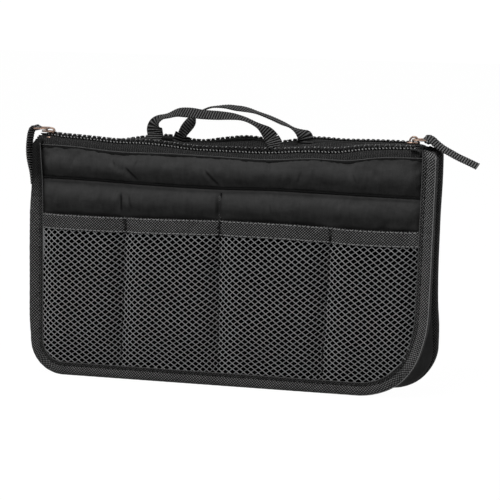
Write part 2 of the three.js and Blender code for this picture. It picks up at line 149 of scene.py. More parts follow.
WALL_LINE = {
    "front": [(-142, 171.0), (-116, 170.8), (-97, 169.7), (-86, 169.8), (-65, 170.2), (-47, 170.7),
              (-32, 170.4), (-14, 171.0), (5, 172.7), (20, 173.4), (31, 172.2), (41, 170.9), (48, 171.5),
              (63, 174.0), (83, 174.0), (98, 173.7), (128, 173.2), (142, 171.4)],
    "rear": [(-142, 170.6), (-118, 169.9), (-99, 168.6), (-86, 168.9), (-72, 170.8), (-52, 172.0),
             (-27, 169.8), (8, 173.6), (31, 171.0), (54, 174.0), (98, 173.8), (128, 173.4), (142, 171.4)],
}
SLIP_LINE = {
    "front": [(-145, 142.8), (-100, 142.2), (-60, 140.9), (-5, 140.2), (30, 140.9), (80, 140.2),
              (145, 139.4)],
    "rear": [(-145, 141.0), (-60, 140.2), (0, 139.8), (70, 140.8), (145, 141.4)],
}
HEM_LINE = {
    "front": [(-145, 117.6), (-74, 117.2), (-5, 118.4), (50, 118.2), (88, 116.9), (145, 117.2)],
    "rear": [(-145, 117.0), (-60, 116.6), (10, 117.4), (80, 116.8), (145, 117.2)],
}


class OrganizerSizes(bpy.types.PropertyGroup):
    """Sizes of the cloth's detail, in millimetres."""

    net_width: bpy.props.FloatProperty(
        name="Net cell width", description="Width of one net cell", default=5.45)
    net_height: bpy.props.FloatProperty(
        name="Net cell height", description="Height of one net cell", default=4.14)
    strand: bpy.props.FloatProperty(name="Net strand", description="Radius of a net strand", default=0.265)
    pocket_swell: bpy.props.FloatProperty(
        name="Pocket swell", description="How far each net pocket stands out", default=6.0)
    band_swell: bpy.props.FloatProperty(
        name="Band swell", description="How far the padded bands stand out", default=5.0)
    crush: bpy.props.FloatProperty(
        name="Crush", description="How far the cloth moves under its own pressure", default=1.5)
    lean: bpy.props.FloatProperty(
        name="Left lean", description="How far the left edge leans in at its top", default=0.4)
    bulge: bpy.props.FloatProperty(
        name="Left bulge", description="How far the left edge stands out above its corner", default=0.9)
    rib_pitch: bpy.props.FloatProperty(
        name="Webbing rib", description="Pitch of the webbing's ribs", default=1.85)
    webbing: bpy.props.FloatProperty(
        name="Handle width", description="Width of the handles' webbing", default=11.4)
    tooth_pitch: bpy.props.FloatProperty(
        name="Tooth pitch", description="Pitch of one row of teeth", default=3.5)
    sewing_pitch: bpy.props.FloatProperty(
        name="Sewing pitch", description="Pitch of the zip's sewing thread", default=2.35)
    stitch: bpy.props.FloatProperty(name="Stitch", description="Length of one stitch", default=2.3)
    twill: bpy.props.FloatProperty(
        name="Twill pitch", description="Pitch of the twill's ridges", default=1.85)


def colour(name, description, default):
    return bpy.props.FloatVectorProperty(
        name=name, description=description, subtype="COLOR", size=3, min=0, max=1, default=default)


class OrganizerColours(bpy.types.PropertyGroup):
    """Colours of the cloth, thread and metal, in linear light."""

    satin: colour("Satin", "Padded walls and slip pockets", (0.039, 0.039, 0.039))
    # Painted shade: the satin's colour where it lies in the shade behind the net
    backing: colour("Backing", "Cloth in the shade behind the net", (0.0008, 0.0008, 0.0008))
    twill_dark: colour("Twill ground", "Ground of binding and hems", (0.004, 0.004, 0.004))
    twill_light: colour("Twill ridge", "Ridges of binding and hems", (0.39, 0.39, 0.39))
    net: colour("Net", "Net strands", (0.425, 0.43, 0.437))
    webbing: colour("Webbing", "Handles and pulls", (0.11, 0.11, 0.11))
    zip_tape: colour("Zip tape", "Woven tape beside the teeth", (0.040, 0.040, 0.040))
    teeth: colour("Teeth", "Zip teeth", (0.009, 0.009, 0.009))
    lining: colour("Lining", "Inner walls and gusset", (0.036, 0.036, 0.036))
    thread: colour("Thread", "Sewing thread", (0.43, 0.43, 0.43))
    copper: colour("Copper", "Sliders and rings", (0.300, 0.205, 0.160))


def sizes():
    return bpy.context.scene.organizer_sizes


# Shader writing

PREFIX = "organizer_"


class Value:
    """A number socket. Its operators add Math nodes."""

    def __init__(self, nodes, socket):
        self.nodes, self.socket = nodes, socket

    def math(self, operation, *others):
        return self.nodes.add("ShaderNodeMath", {"operation": operation}, self, *others)

    def __add__(self, other):
        return self.math("ADD", other)

    __radd__ = __add__

    def __mul__(self, other):
        return self.math("MULTIPLY", other)

    __rmul__ = __mul__

    def __sub__(self, other):
        return self.math("SUBTRACT", other)

    def __rsub__(self, other):
        return (self * -1) + other

    def __truediv__(self, other):
        return self.math("DIVIDE", other)

    def __pow__(self, other):
        return self.math("POWER", other)

    def sin(self):
        return self.math("SINE")

    def abs(self):
        return self.math("ABSOLUTE")

    def between(self, low, high):
        """Rises from 0 to 1 between two values."""
        return self.nodes.add("ShaderNodeMapRange", {"clamp": True}, self, low, high)


class Nodes:
    """Writes the nodes of one tree."""

    def __init__(self, tree):
        self.tree = tree

    def add(self, kind, settings=None, *values, output=0, **named):
        """Adds a node: its settings first, then the values or links of its inputs in order or by name."""
        node = self.tree.nodes.new(kind)
        for setting, value in (settings or {}).items():
            setattr(node, setting, value)
        for socket, value in [*enumerate(values), *((k.replace("_", " "), v) for k, v in named.items())]:
            if isinstance(value, Value):
                self.tree.links.new(value.socket, node.inputs[socket])
            elif value is not None:
                node.inputs[socket].default_value = value
        return Value(self, node.outputs[output])

    def split(self, vector):
        parts = self.add("ShaderNodeSeparateXYZ", None, vector)
        outputs = parts.socket.node.outputs
        return [Value(self, outputs[axis]) for axis in range(3)]

    def cloth(self):
        """Cloth coordinates in millimetres: along the piece and across it."""
        return self.split(self.add("ShaderNodeUVMap", {"uv_map": "Cloth"}))[:2]

    def place(self):
        """Object coordinates in millimetres."""
        point = self.add("ShaderNodeTexCoord", None, output=3)
        return self.add("ShaderNodeVectorMath", {"operation": "SCALE"}, point, Scale=1 / MM)

    def noise(self, vector, scale, detail=2.0, roughness=0.5):
        return self.add("ShaderNodeTexNoise", None, vector, Scale=scale, Detail=detail, Roughness=roughness)

    def stretch(self, vector, scale):
        return self.add("ShaderNodeMapping", None, vector, Scale=scale)

    def mix(self, share, first, second):
        """Mixes two colours, each a colour or a link."""
        first, second = (c if isinstance(c, Value) else (*c, 1) for c in (first, second))
        unused = [None] * 5
        return self.add("ShaderNodeMix", {"data_type": "RGBA"}, share, *unused, first, second, output=2)


class Finish(Nodes):
    """Writes one material's nodes, which feed its Principled BSDF."""

    def __init__(self, name, roughness, **constants):
        self.material = bpy.data.materials.new(PREFIX + name)
        self.material.use_nodes = True
        super().__init__(self.material.node_tree)
        self.shader = self.tree.nodes["Principled BSDF"]
        self.shader.inputs["Roughness"].default_value = roughness
        for socket, value in constants.items():
            self.shader.inputs[socket.replace("_", " ")].default_value = value

    def link(self, socket, value):
        self.tree.links.new(value.socket, self.shader.inputs[socket])

    def bump(self, height, distance, strength=1.0):
        """Feeds a height in millimetres to the shader's normal."""
        self.link("Normal", self.add(
            "ShaderNodeBump", None, Strength=strength, Distance=distance * MM, Height=height))


def shade(rgb, factor):
    return tuple(min(c * factor, 1) for c in rgb)


# Painted shade along folds in the front's satin, with painted light beside each: start and end in
# millimetres, and how dark each one is
FOLD_SHADES = ((-74, 153.5, -64.5, 143.5, 0.9), (-16, 154, -5, 142, 0.85), (-76.7, 135.5, -75.8, 120.5, 0.85),
         (-71, 134, -68, 122.5, 0.45), (-84, 158.5, -81, 152, 0.45), (-64.7, 159, -68, 152.5, 0.35),
         (53, 156, 49, 145, 0.3), (88, 157, 92, 148, 0.3), (31, 133, 33, 124, 0.25))


def fold(x, z, x0, z0, x1, z1, depth):
    """Shares of painted shade along a fold, which fades at its ends, and of painted light on the cloth beside
    it.
    """
    run = float(np.hypot(x1 - x0, z1 - z0))
    along = ((x - x0) * (x1 - x0) + (z - z0) * (z1 - z0)) / run
    aside = ((x - x0) * (z1 - z0) - (z - z0) * (x1 - x0)) / run
    reach = along.between(0, 3.5) * (1 - along.between(run - 3.5, run)) * depth
    return reach * (1 - aside.abs().between(0.1, 1.3)), reach * (1 - (aside - 2.4).abs().between(0.3, 2.2))


def satin_material(colours):
    """Charcoal satin: a fine weave, soft puckers that run across the bands, a painted sheen that lightens the
    upper part of each padded band, where light from above falls, and painted shade along the front's folds
    with painted light beside them."""
    nodes = Finish("satin", 0.5, Specular_IOR_Level=0.035)
    place = nodes.place()
    x, y, z = nodes.split(place)
    puckers = nodes.noise(nodes.stretch(place, (0.34, 0.2, 0.09)), 1.0, 3.0, 0.55)
    crush = nodes.noise(nodes.stretch(place, (0.07, 0.07, 0.16)), 1.0, 4.0, 0.6)
    weave = (x * 7.4).sin() * (z * 7.4).sin()
    # Painted sheen: the upper part of each padded band is painted lighter, where light from above falls
    painted_band_light = (z * (2 * np.pi / 22.4) + 1.5).sin() * 0.5 + 0.5
    tone = (puckers * 0.35 + crush * 0.65).between(0.3, 0.7) * 0.55 + painted_band_light * 0.6 - 0.04
    # Painted shade along the front's folds, and painted light on the cloth beside them
    dark, light = zip(*(fold(x, z, *line) for line in FOLD_SHADES))
    front = 1 - y.between(-1, 1)
    tone = tone + sum(light[1:], light[0]) * front * 0.3
    cloth = nodes.mix(tone, shade(colours.satin, 0.6), shade(colours.satin, 1.7))
    nodes.link("Base Color", nodes.mix(sum(dark[1:], dark[0]) * front, cloth, shade(colours.satin, 0.1)))
    nodes.link("Roughness", crush.between(0.25, 0.75) * 0.16 + 0.4)
    nodes.bump(puckers * 0.6 + crush * 1.0 + weave * 0.03, 1.0, 0.8)
    return nodes.material


def painted_shade_satin_material(colours):
    """Satin painted almost black where it lies in the shade behind the net: painted shade, with a faint plain
    weave.
    """
    nodes = Finish("backing", 0.95, Specular_IOR_Level=0.0)
    x, _, z = nodes.split(nodes.place())
    weave = ((x * 7.4).sin() * (z * 7.4).sin()) * 0.5 + 0.5
    nodes.link("Base Color", nodes.mix(weave, shade(colours.backing, 0.6), shade(colours.backing, 1.6)))
    nodes.bump(weave, 0.1, 0.3)
    return nodes.material


def twill_material(colours, pitch):
    """Twill tape: diagonal ridges cut by single threads, speckled and worn lighter in places. It is darker on
    the upper left binding. Painted shade darkens a binding's rim, the groove along a binding's inner edge and
    the rear one's right edge between the pouches, and painted light brightens the front's right edge."""
    nodes = Finish("twill", 0.85, Specular_IOR_Level=0.08)
    along, across = nodes.cloth()
    turn = 2 * np.pi / pitch
    ridge = (((along - across) * turn).sin() * 0.5 + 0.5).between(0.15, 0.9)
    thread = ((along * 0.8 + across) * (turn * 0.9)).sin() * 0.5 + 0.5
    place = nodes.place()
    x, y, z = nodes.split(place)
    # Darker on the upper left binding
    upper_left_dark = z.between(124, 146) * (x * -1).between(132, 136)
    speckle = nodes.noise(place, 1.1, 2.0, 0.6).between(0.3, 0.7)
    wear = nodes.noise(place, 0.09, 3.0, 0.6).between(0.25, 0.75)
    tone = (ridge * (thread * 0.7 + 0.3)) ** 1.4 * (speckle * 0.9 + 0.45) * (wear * 0.4 + 0.75)
    # Painted shade on a binding's rim, which faces away from the light
    rim = across.between(10.4, 11.2) * (1 - across.between(19.0, 20.0))
    hem = z.between(104, 106) * (1 - z.between(119, 121)) * (1 - (x * x).between(17700, 17950))
    # Painted shade in the groove along a binding's inner edge
    groove_shade = (1 - across.between(0.4, 3.0)) * (1 - hem)
    # Painted shade on the rear binding's right edge between the pouches
    shade_between_pouches = y.between(7, 9) * (1 - y.between(15, 19)) * x.between(120, 130)
    # Painted light on the front binding's right edge
    front_right_light = x.between(126, 134) * (1 - y.between(-12, -9))
    tone = tone * (1 + front_right_light * 0.5) * (1 - upper_left_dark * 0.88) * (1 - rim * 0.7)
    tone = tone * (1 - groove_shade * 0.75) * (1 - shade_between_pouches * 0.6)
    nodes.link("Base Color", nodes.mix(tone, tuple(colours.twill_dark), tuple(colours.twill_light)))
    nodes.bump(ridge * 0.7 + thread * 0.3 + speckle * 0.3, 0.35, 0.8)
    return nodes.material


def webbing_material(colours, pitch):
    """Ribbed webbing: black furrows between the ribs, which are painted shade, and a fine check of yarns on
    them, which is lighter on the pulls at both ends of the organizer."""
    nodes = Finish("webbing", 0.75, Specular_IOR_Level=0.08)
    along, across = nodes.cloth()
    turn = 2 * np.pi / pitch
    # The furrows between the ribs are painted near black: painted shade
    rib = ((along * turn).sin() * 0.5 + 0.5).between(0.4, 1.0)
    yarn = ((along + across * 2.2) * 4.1).sin() * ((across - along * 0.4) * 4.4).sin() * 0.5 + 0.5
    speckle = nodes.noise(nodes.place(), 1.2, 2.0, 0.6).between(0.3, 0.7)
    x, _, _ = nodes.split(nodes.place())
    pull = (x * x).between(14500, 16500)
    tone = rib * (yarn * 0.4 + 0.2 + speckle * 0.6) * (pull * 1.7 + 1)
    nodes.link("Base Color", nodes.mix(tone, shade(colours.webbing, 0.015), shade(colours.webbing, 2.0)))
    nodes.bump(yarn * 0.5 + speckle * 0.5, 0.3, 0.7)
    return nodes.material


def tape_material(colours):
    """Zip tape: a fine herringbone of yarns with light specks."""
    nodes = Finish("zip_tape", 0.85, Specular_IOR_Level=0.08)
    along, across = nodes.cloth()
    fold = (across * 2.4).sin() * 0.9
    bone = ((along * 3.9) + fold).sin() * 0.5 + 0.5
    speckle = nodes.noise(nodes.place(), 1.5, 2.0, 0.65).between(0.42, 0.66)
    tone = (bone * 0.45 + 0.2) * (speckle * 0.9 + 0.35)
    nodes.link("Base Color", nodes.mix(tone, shade(colours.zip_tape, 0.15), shade(colours.zip_tape, 3.0)))
    nodes.bump(bone * 0.5 + speckle * 0.6, 0.3, 0.7)
    return nodes.material


def net_material(colours):
    """Net strands: knitted nylon, lighter at random, with painted light on the falling strands, which stand
    out.
    Painted shade darkens the slope to the left of each seam, which turns away from the light, and painted
    light brightens the slope to its right, which turns towards it."""
    nodes = Finish("net", 0.6, Specular_IOR_Level=0.15)
    falling, _ = nodes.cloth()
    speckle = nodes.noise(nodes.place(), 1.3, 2.0, 0.6)
    # Painted light on the falling strands
    tone = speckle.between(0.3, 0.7) * 0.6 + falling * 0.22 + 0.1
    x, _, z = nodes.split(nodes.place())
    edge = HALF - POCKET_INSET
    # Painted shade left of each seam, and painted light to its right
    for foot, top in ((-edge, -edge), *zip(SEAM_FEET, SEAM_TOPS), (edge, edge)):
        aside = x - z * ((top - foot) / HEM_TOP) - foot
        tone = tone * (1 - aside.between(-13, -2) * (1 - aside.between(-0.5, 1.5)) * 0.4)
        tone = tone * (1 + aside.between(0, 2) * (1 - aside.between(5, 20)) * 0.3)
    nodes.link("Base Color", nodes.mix(tone, shade(colours.net, 0.5), shade(colours.net, 1.35)))
    nodes.bump(nodes.noise(nodes.place(), 4.0), 0.15, 0.6)
    return nodes.material


def lining_material(colours):
    """Plain-weave lining: a fine grid of threads over soft creases."""
    nodes = Finish("lining", 0.8, Specular_IOR_Level=0.08)
    place = nodes.place()
    x, y, z = nodes.split(place)
    weave = (x * 6.0).sin() * (z * 6.0 + y * 6.0).sin()
    crease = nodes.noise(nodes.stretch(place, (0.06, 0.1, 0.05)), 1.0, 4.0, 0.6)
    nodes.link("Base Color", nodes.mix(
        crease.between(0.3, 0.7), shade(colours.lining, 0.7), shade(colours.lining, 1.5)))
    nodes.bump(crease * 1.2 + weave * 0.05, 1.0, 0.6)
    return nodes.material


def thread_material(colours, name="thread", strength=1.0):
    """Sewing thread: two plies twisted together."""
    nodes = Finish(name, 0.7, Specular_IOR_Level=0.1)
    place = nodes.place()
    x, y, z = nodes.split(place)
    twist = ((x + z) * 9.0 + y * 4.0).sin() * 0.5 + 0.5
    nodes.link("Base Color", nodes.mix(
        twist, shade(colours.thread, 0.5 * strength), shade(colours.thread, 1.3 * strength)))
    nodes.bump(twist, 0.1, 0.5)
    return nodes.material


def teeth_material(colours):
    """Moulded black teeth: smooth, with small random patches that are lighter and rougher."""
    nodes = Finish("teeth", 0.4, Specular_IOR_Level=0.06)
    patch = nodes.noise(nodes.place(), 0.8, 3.0, 0.6)
    nodes.link("Base Color", nodes.mix(
        patch.between(0.45, 0.75), tuple(colours.teeth), shade(colours.teeth, 4.0)))
    nodes.link("Roughness", patch.between(0.3, 0.8) * 0.3 + 0.22)
    return nodes.material


def copper_material(colours):
    """Copper plating: warm metal with a darker tarnish in patches and fine scratches."""
    nodes = Finish("copper", 0.28, Metallic=1.0)
    place = nodes.place()
    tarnish = nodes.noise(place, 0.35, 4.0, 0.6)
    scratch = nodes.noise(nodes.stretch(place, (0.4, 6.0, 6.0)), 1.0, 2.0, 0.5)
    nodes.link("Base Color", nodes.mix(
        tarnish.between(0.35, 0.7), tuple(colours.copper), shade(colours.copper, 0.45)))
    nodes.link("Roughness", tarnish.between(0.3, 0.8) * 0.2 + 0.2)
    nodes.bump(scratch, 0.05, 0.4)
    return nodes.material


MAKERS = {
    "satin": satin_material,
    "backing": painted_shade_satin_material,
    "twill": lambda colours: twill_material(colours, sizes().twill),
    "webbing": lambda colours: webbing_material(colours, sizes().rib_pitch),
    "zip_tape": tape_material,
    "net": net_material,
    "lining": lining_material,
    "thread": thread_material,
    # Near-black thread for stitches, also used for tubes of painted shade
    "dark_thread": lambda colours: thread_material(colours, "dark_thread", 0.012),
    # Grey thread for the slip pockets' stitches, and for painted highlights along edges
    "edge_thread": lambda colours: thread_material(colours, "edge_thread", 0.3),
    # Light thread colour for the painted highlight on the bindings' right rim
    "selvedge": lambda colours: thread_material(colours, "selvedge", 0.9),
    "teeth": teeth_material,
    "copper": copper_material,
}


def material(name):
    """The material of that name, written when it is first asked for."""
    return bpy.data.materials.get(PREFIX + name) or MAKERS[name](bpy.context.scene.organizer_colours)


# Mesh writing

CORNERS = ((0, 0), (0, 1), (1, 1), (1, 0))


def onward(values):
    """The values with one more step at the end."""
    return np.concatenate([values, 2 * values[..., -1:] - values[..., -2:-1]], axis=-1)


class Shape:
    """Gathers grids of points in millimetres into one closed piece, with cloth coordinates."""

    def __init__(self):
        self.points, self.faces, self.cloth, self.count = [], [], [], 0

    def tube(self, points, along=None, across=None, ring=False):
        """Quads over points[copy, row, column], whose columns close round. Ends are closed with a ladder of
        quads between facing columns, unless the rows close too."""
        points = np.asarray(points, float)
        if points.ndim == 3:
            points = points[None]
        copies, rows, columns = points.shape[:3]
        along = np.arange(rows, dtype=float) if along is None else np.asarray(along, float)
        across = np.arange(columns, dtype=float) if across is None else np.asarray(across, float)
        u = np.broadcast_to(np.atleast_2d(onward(along))[:, :, None], (copies, rows + 1, columns + 1))
        v = np.broadcast_to(onward(across)[None, None, :], (copies, rows + 1, columns + 1))
        cloth = np.stack([u, v], -1)
        i, j = (a.ravel() for a in np.meshgrid(np.arange(rows - 1 + ring), np.arange(columns), indexing="ij"))
        quads = [((i + a) % rows) * columns + (j + b) % columns for a, b in CORNERS]
        where = [(i + a, j + b) for a, b in CORNERS]
        if not ring:
            k = np.arange(columns // 2 - 1)
            pairs = (k, k + 1, columns - 2 - k, columns - 1 - k)
            for row in (0, rows - 1):
                order = pairs[::-1] if row else pairs
                quads = [np.concatenate([q, row * columns + p]) for q, p in zip(quads, order)]
                where = [(np.concatenate([w[0], np.full(len(k), row)]), np.concatenate([w[1], p]))
                         for w, p in zip(where, order)]
        faces = np.stack(quads, -1)[None] + (np.arange(copies) * rows * columns)[:, None, None]
        self.points.append(points.reshape(-1, 3))
        self.faces.append((faces + self.count).reshape(-1, 4))
        self.cloth.append(np.stack([cloth[:, a, b] for a, b in where], 2).reshape(-1, 2))
        self.count += copies * rows * columns
        return self

    def piece(self, name, look, body=None, replaces=()):
        """Makes the object, with its normals outwards, its material, its body and the nodes it stands for."""
        mesh = bpy.data.meshes.new(name)
        mesh.from_pydata((np.concatenate(self.points) * MM).tolist(), [], np.concatenate(self.faces).tolist())
        layer = mesh.uv_layers.new(name="Cloth")
        layer.data.foreach_set("uv", np.concatenate(self.cloth).astype(np.float32).ravel())
        work = bmesh.new()
        work.from_mesh(mesh)
        bmesh.ops.recalc_face_normals(work, faces=work.faces)
        work.to_mesh(mesh)
        work.free()
        mesh.shade_smooth()
        mesh.materials.append(material(look))
        piece = bpy.data.objects.new(name, mesh)
        bpy.context.scene.collection.objects.link(piece)
        if replaces:
            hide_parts(*replaces)
        if body:
            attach(piece, body)
        return piece


def subdivide(piece):
    """Smooths a finished piece, alike in the view and in the render."""
    finish = piece.modifiers.new("smooth", "SUBSURF")
    finish.levels = finish.render_levels = 1


def unit(vectors):
    return vectors / np.maximum(np.linalg.norm(vectors, axis=-1, keepdims=True), 1e-9)


def distances(points):
    """How far along their line each of the points lies."""
    return np.concatenate([[0], np.cumsum(np.linalg.norm(np.diff(points, axis=0), axis=1))])


def spaced(stations, step):
    """Points a step apart along a smooth curve through the stations, and their distances along it."""
    stations = np.array(stations, float)
    knots = distances(stations)
    fine = np.linspace(0, knots[-1], 40 * len(knots))
    curve = np.stack([through(fine, list(zip(knots, stations[:, a]))) for a in range(3)], -1)
    run = distances(curve)
    along = np.linspace(0, run[-1], max(int(run[-1] / step), 4))
    return np.stack([np.interp(along, run, curve[:, a]) for a in range(3)], -1), along


def squared(wave, power):
    """A cosine or sine pressed towards a square wave: its size raised to a power under 1, its sign kept."""
    return np.sign(wave) * np.abs(wave) ** power


def around(count):
    """Angles of points spread evenly round a circle, the first one half a step from 0."""
    return (np.arange(count) + 0.5) * 2 * np.pi / count


def along_path(path, sideways, half_width, half_depth, columns=20, squareness=0.45):
    """Sections carried along a path: each is a rounded rectangle, sideways by half_width and half_depth."""
    tangent = unit(np.gradient(path, axis=0))
    sideways = np.broadcast_to(sideways, path.shape)
    width = unit(sideways - (sideways * tangent).sum(-1, keepdims=True) * tangent)
    depth = np.cross(tangent, width)
    turn = around(columns)
    across = squared(np.cos(turn), squareness)
    deep = squared(np.sin(turn), squareness)
    half_width, half_depth = (np.broadcast_to(h, len(path))[:, None, None] for h in (half_width, half_depth))
    return (path[:, None] + width[:, None] * across[None, :, None] * half_width
            + depth[:, None] * deep[None, :, None] * half_depth)


def strap(path, along, sideways, half_width, half_depth, rib=0.22):
    """Webbing along a path. Its depth swells and shrinks with each rib: one cosine wave a rib."""
    rib_pitch = sizes().rib_pitch
    wave = 1 + rib * np.cos(2 * np.pi * along / rib_pitch)
    columns = 24
    points = along_path(path, sideways, half_width, half_depth * wave, columns, 0.4)
    turn = around(columns)
    return Shape().tube(points, along + rib_pitch / 4, half_width * np.cos(turn))


def beads(shape, centres, ways, outwards, length, radius):
    """Small rounded stitches: each a six-sided capsule along its way."""
    ways, outwards = unit(np.broadcast_to(ways, centres.shape)), np.broadcast_to(outwards, centres.shape)
    aside = unit(np.cross(ways, outwards))
    up = np.cross(aside, ways)
    turn = around(6)
    stops = np.array([-0.5, -0.36, 0.36, 0.5])
    fat = np.array([0.35, 1.0, 1.0, 0.35])
    round_part = (aside[:, None, None] * np.cos(turn)[None, None, :, None]
                  + up[:, None, None] * np.sin(turn)[None, None, :, None])
    lengths = np.broadcast_to(length, len(centres))[:, None, None, None]
    points = (centres[:, None, None] + ways[:, None, None] * stops[None, :, None, None] * lengths
              + round_part * radius * fat[None, :, None, None])
    return shape.tube(points)


def stitches(shape, line, outward, stitch, radius=0.32, gap=0.45):
    """Stitches laid end to end along a line of points, with a gap after each."""
    run = distances(line)
    starts = np.arange(stitch / 2, run[-1] - stitch / 2, stitch * (1 + gap))

    def at(s):
        return np.stack([np.interp(s, run, line[:, a]) for a in range(3)], -1)

    return beads(shape, at(starts), at(starts + 0.1) - at(starts - 0.1), outward, stitch, radius)


# The pouch's outline

def rim(along, inset, radii, top):
    """The U-shaped outline moved in by inset: down the left side, a quarter circle, the bottom, a quarter
    circle, and up the right side. along is measured on the outer line."""
    left, right = radii
    quarter = np.pi / 2
    lengths = (top - left, left * quarter, 2 * HALF - left - right, right * quarter, top - right)
    starts = np.concatenate([[0], np.cumsum(lengths)])
    down, across, up = (np.clip(along - starts[k], 0, lengths[k]) for k in (0, 2, 4))
    a = np.clip((along - starts[1]) / left, 0, quarter)
    b = np.clip((along - starts[3]) / right, 0, quarter)
    x = -HALF + inset + (left - inset) * (1 - np.cos(a)) + across + (right - inset) * np.sin(b)
    z = top - down - (left - inset) * np.sin(a) + (right - inset) * (1 - np.cos(b)) + up
    return x, z


def rim_length(radii, top):
    return (top - radii[0] + top - radii[1] + 2 * HALF - sum(radii) + np.pi / 2 * sum(radii))


def low_edge(x, inset, radii):
    """Height at x of the outline's lower side, moved in by inset: level, with a quarter circle at each
    end."""
    left, right = radii
    beyond = np.maximum(np.maximum(-HALF + left - x, x - HALF + right), 0)
    radius = np.where(x < 0, left, right)
    return radius - np.sqrt(np.maximum((radius - inset) ** 2 - beyond ** 2, 0)) * (beyond > 0) \
        - (radius - inset) * (beyond <= 0)


def from_edge(x, z, radii):
    """Distance of a point from the outline, inwards."""
    left, right = radii
    radius = np.where(x < 0, left, right)
    beyond_x = np.abs(x) - (HALF - radius)
    beyond_z = radius - z
    corner = radius - np.hypot(np.maximum(beyond_x, 0), np.maximum(beyond_z, 0))
    return np.where((beyond_x > 0) & (beyond_z > 0), corner, np.minimum(HALF - np.abs(x), z))


# How far the right edges stand out, at heights: the front pouch's corner is drawn in and its top leans out
RIGHT_SAG = {
    -1: [(-10, 0.0), (9, 0.0), (17, -1.3), (26, -2.2), (37, -2.8), (46, -2.2), (54, -1.3), (74, -0.5),
         (110, 0.1), (165, 0.9), (185, 0.9)],
    1: [(-10, 0.0), (10, 0.1), (30, 0.9), (45, 0.8), (60, -0.3), (72, -0.7), (120, -0.7), (150, -0.1),
        (185, 0.0)],
}


def settle(side, x, z):
    """How the sides sag. The left edge stands out above its corner and leans in towards its top, where the
    seam beside it is drawn outwards; the right edges follow their stations and ease off inwards."""
    inside = x + HALF
    share = smooth(inside / TAPE_REACH)
    lean, bulge = sizes().lean * eased(z, 114, 20), sizes().bulge * eased(z, 22, 22)
    drawn = 2.3 * eased(z, 128, 50) * share * (1 - eased(inside, 12, 60))
    sag = through(z, RIGHT_SAG[-1 if side < 0 else 1]) * (1 - eased(HALF - x, 10, 40))
    return x + (lean - bulge) * (1 - share) - drawn + sag


def place(side, x, distance, z):
    """Points from places along the width, distances from the centre plane and heights. The upper left
    edge is pressed thinner towards its rim."""
    x, distance, z = np.broadcast_arrays(x, distance, z)
    press = 0.45 * eased(z, 116, 36) * (1 - smooth((x + HALF) / 10))
    pressed = distance - press * np.maximum(distance - BINDING_NEAR, 0)
    return np.stack([settle(side, x, z), side * pressed, z], -1)


def across_width(inset, count):
    """Evenly spaced places along the width, from an inset at one edge to the same at the other."""
    return np.linspace(-HALF + inset, HALF - inset, count)


def slab(side, x, low, high, front, back, steps):
    """A closed layer: for each x one loop, up its front surface and down its back one."""
    share = 1 - (1 - np.linspace(0, 1, steps)) ** 1.25
    grid_x = np.repeat(x[:, None], steps, 1)
    grid_z = low[:, None] + (high - low)[:, None] * share
    outer = place(side, grid_x, front(grid_x, grid_z), grid_z)
    inner = place(side, grid_x, back(grid_x, grid_z), grid_z)
    return np.concatenate([outer, inner[:, ::-1]], 1), grid_x, grid_z


def layer(points, x):
    """The shape of a closed layer whose loops stand at the places x."""
    return Shape().tube(points, x, np.arange(points.shape[1]))


def simulate(piece, loose, swell, growth):
    """Blows the loose points up as cloth under pressure, a little longer than its frame so that it puckers,
    and holds the rest. No point moves further than swell."""
    scene = bpy.context.scene
    start = np.empty(len(piece.data.vertices) * 3)
    piece.data.vertices.foreach_get("co", start)
    held = piece.vertex_groups.new(name="held")
    held.add(np.flatnonzero(~loose).tolist(), 1.0, "REPLACE")
    cloth = piece.modifiers.new("cloth", "CLOTH")
    cloth.settings.vertex_group_mass = "held"
    cloth.settings.use_pressure = True
    cloth.settings.uniform_pressure_force = 3.0
    cloth.settings.effector_weights.gravity = 0
    cloth.settings.shrink_min = -growth
    cloth.settings.bending_stiffness = 0.2
    cloth.settings.quality = 6
    cloth.collision_settings.use_collision = False
    for step in range(1, 21):
        scene.frame_set(step)
    ready = piece.evaluated_get(bpy.context.evaluated_depsgraph_get()).data
    moved = np.empty_like(start)
    ready.vertices.foreach_get("co", moved)
    piece.modifiers.remove(cloth)
    piece.vertex_groups.remove(held)
    scene.frame_set(1)
    shift = (moved - start).reshape(-1, 3)
    length = np.linalg.norm(shift, axis=1, keepdims=True)
    limit = swell * MM
    shift *= limit * np.tanh(length / limit) / np.maximum(length, 1e-9)
    piece.data.vertices.foreach_set("co", (start.reshape(-1, 3) + shift).ravel())
    piece.data.update()


# Padded walls and slip pockets

# Grid of the walls and pads: places along the width, and points up a pad's outer surface
PAD_COLUMNS, PAD_ROWS = 190, 44
# How far inside the outline the wall's skin and the other cloth layers end
SKIN_INSET, CLOTH_INSET = 2.0, 2.5
# Width at each side of a padded piece that its binding holds down
HELD = 10.5
# Places where the satin is folded: start, end and depth of each crease
CREASES = {
    "front": ((-83, 155, -64, 143, 3.0), (-14, 155, -5, 143, 2.7), (-118, 150, -108, 158, 0.9),
              (96, 158, 112, 152, 0.9), (38, 157, 46, 148, 0.9), (-92, 157, -88, 148, 0.9)),
    "front_slip": ((-77, 134, -76.4, 121, 2.4), (-70, 132, -68, 121, 0.9), (30, 133, 33, 124, 0.8),
                   (-122, 132, -117, 122, 0.6), (92, 133, 96, 122, 0.8)),
    "rear_slip": ((-40, 133, -38, 122, 0.8), (66, 132, 69, 121, 0.8)),
    "rear": ((-60, 155, -46, 146, 0.9), (34, 153, 48, 145, 0.9), (92, 157, 106, 150, 0.6)),
}


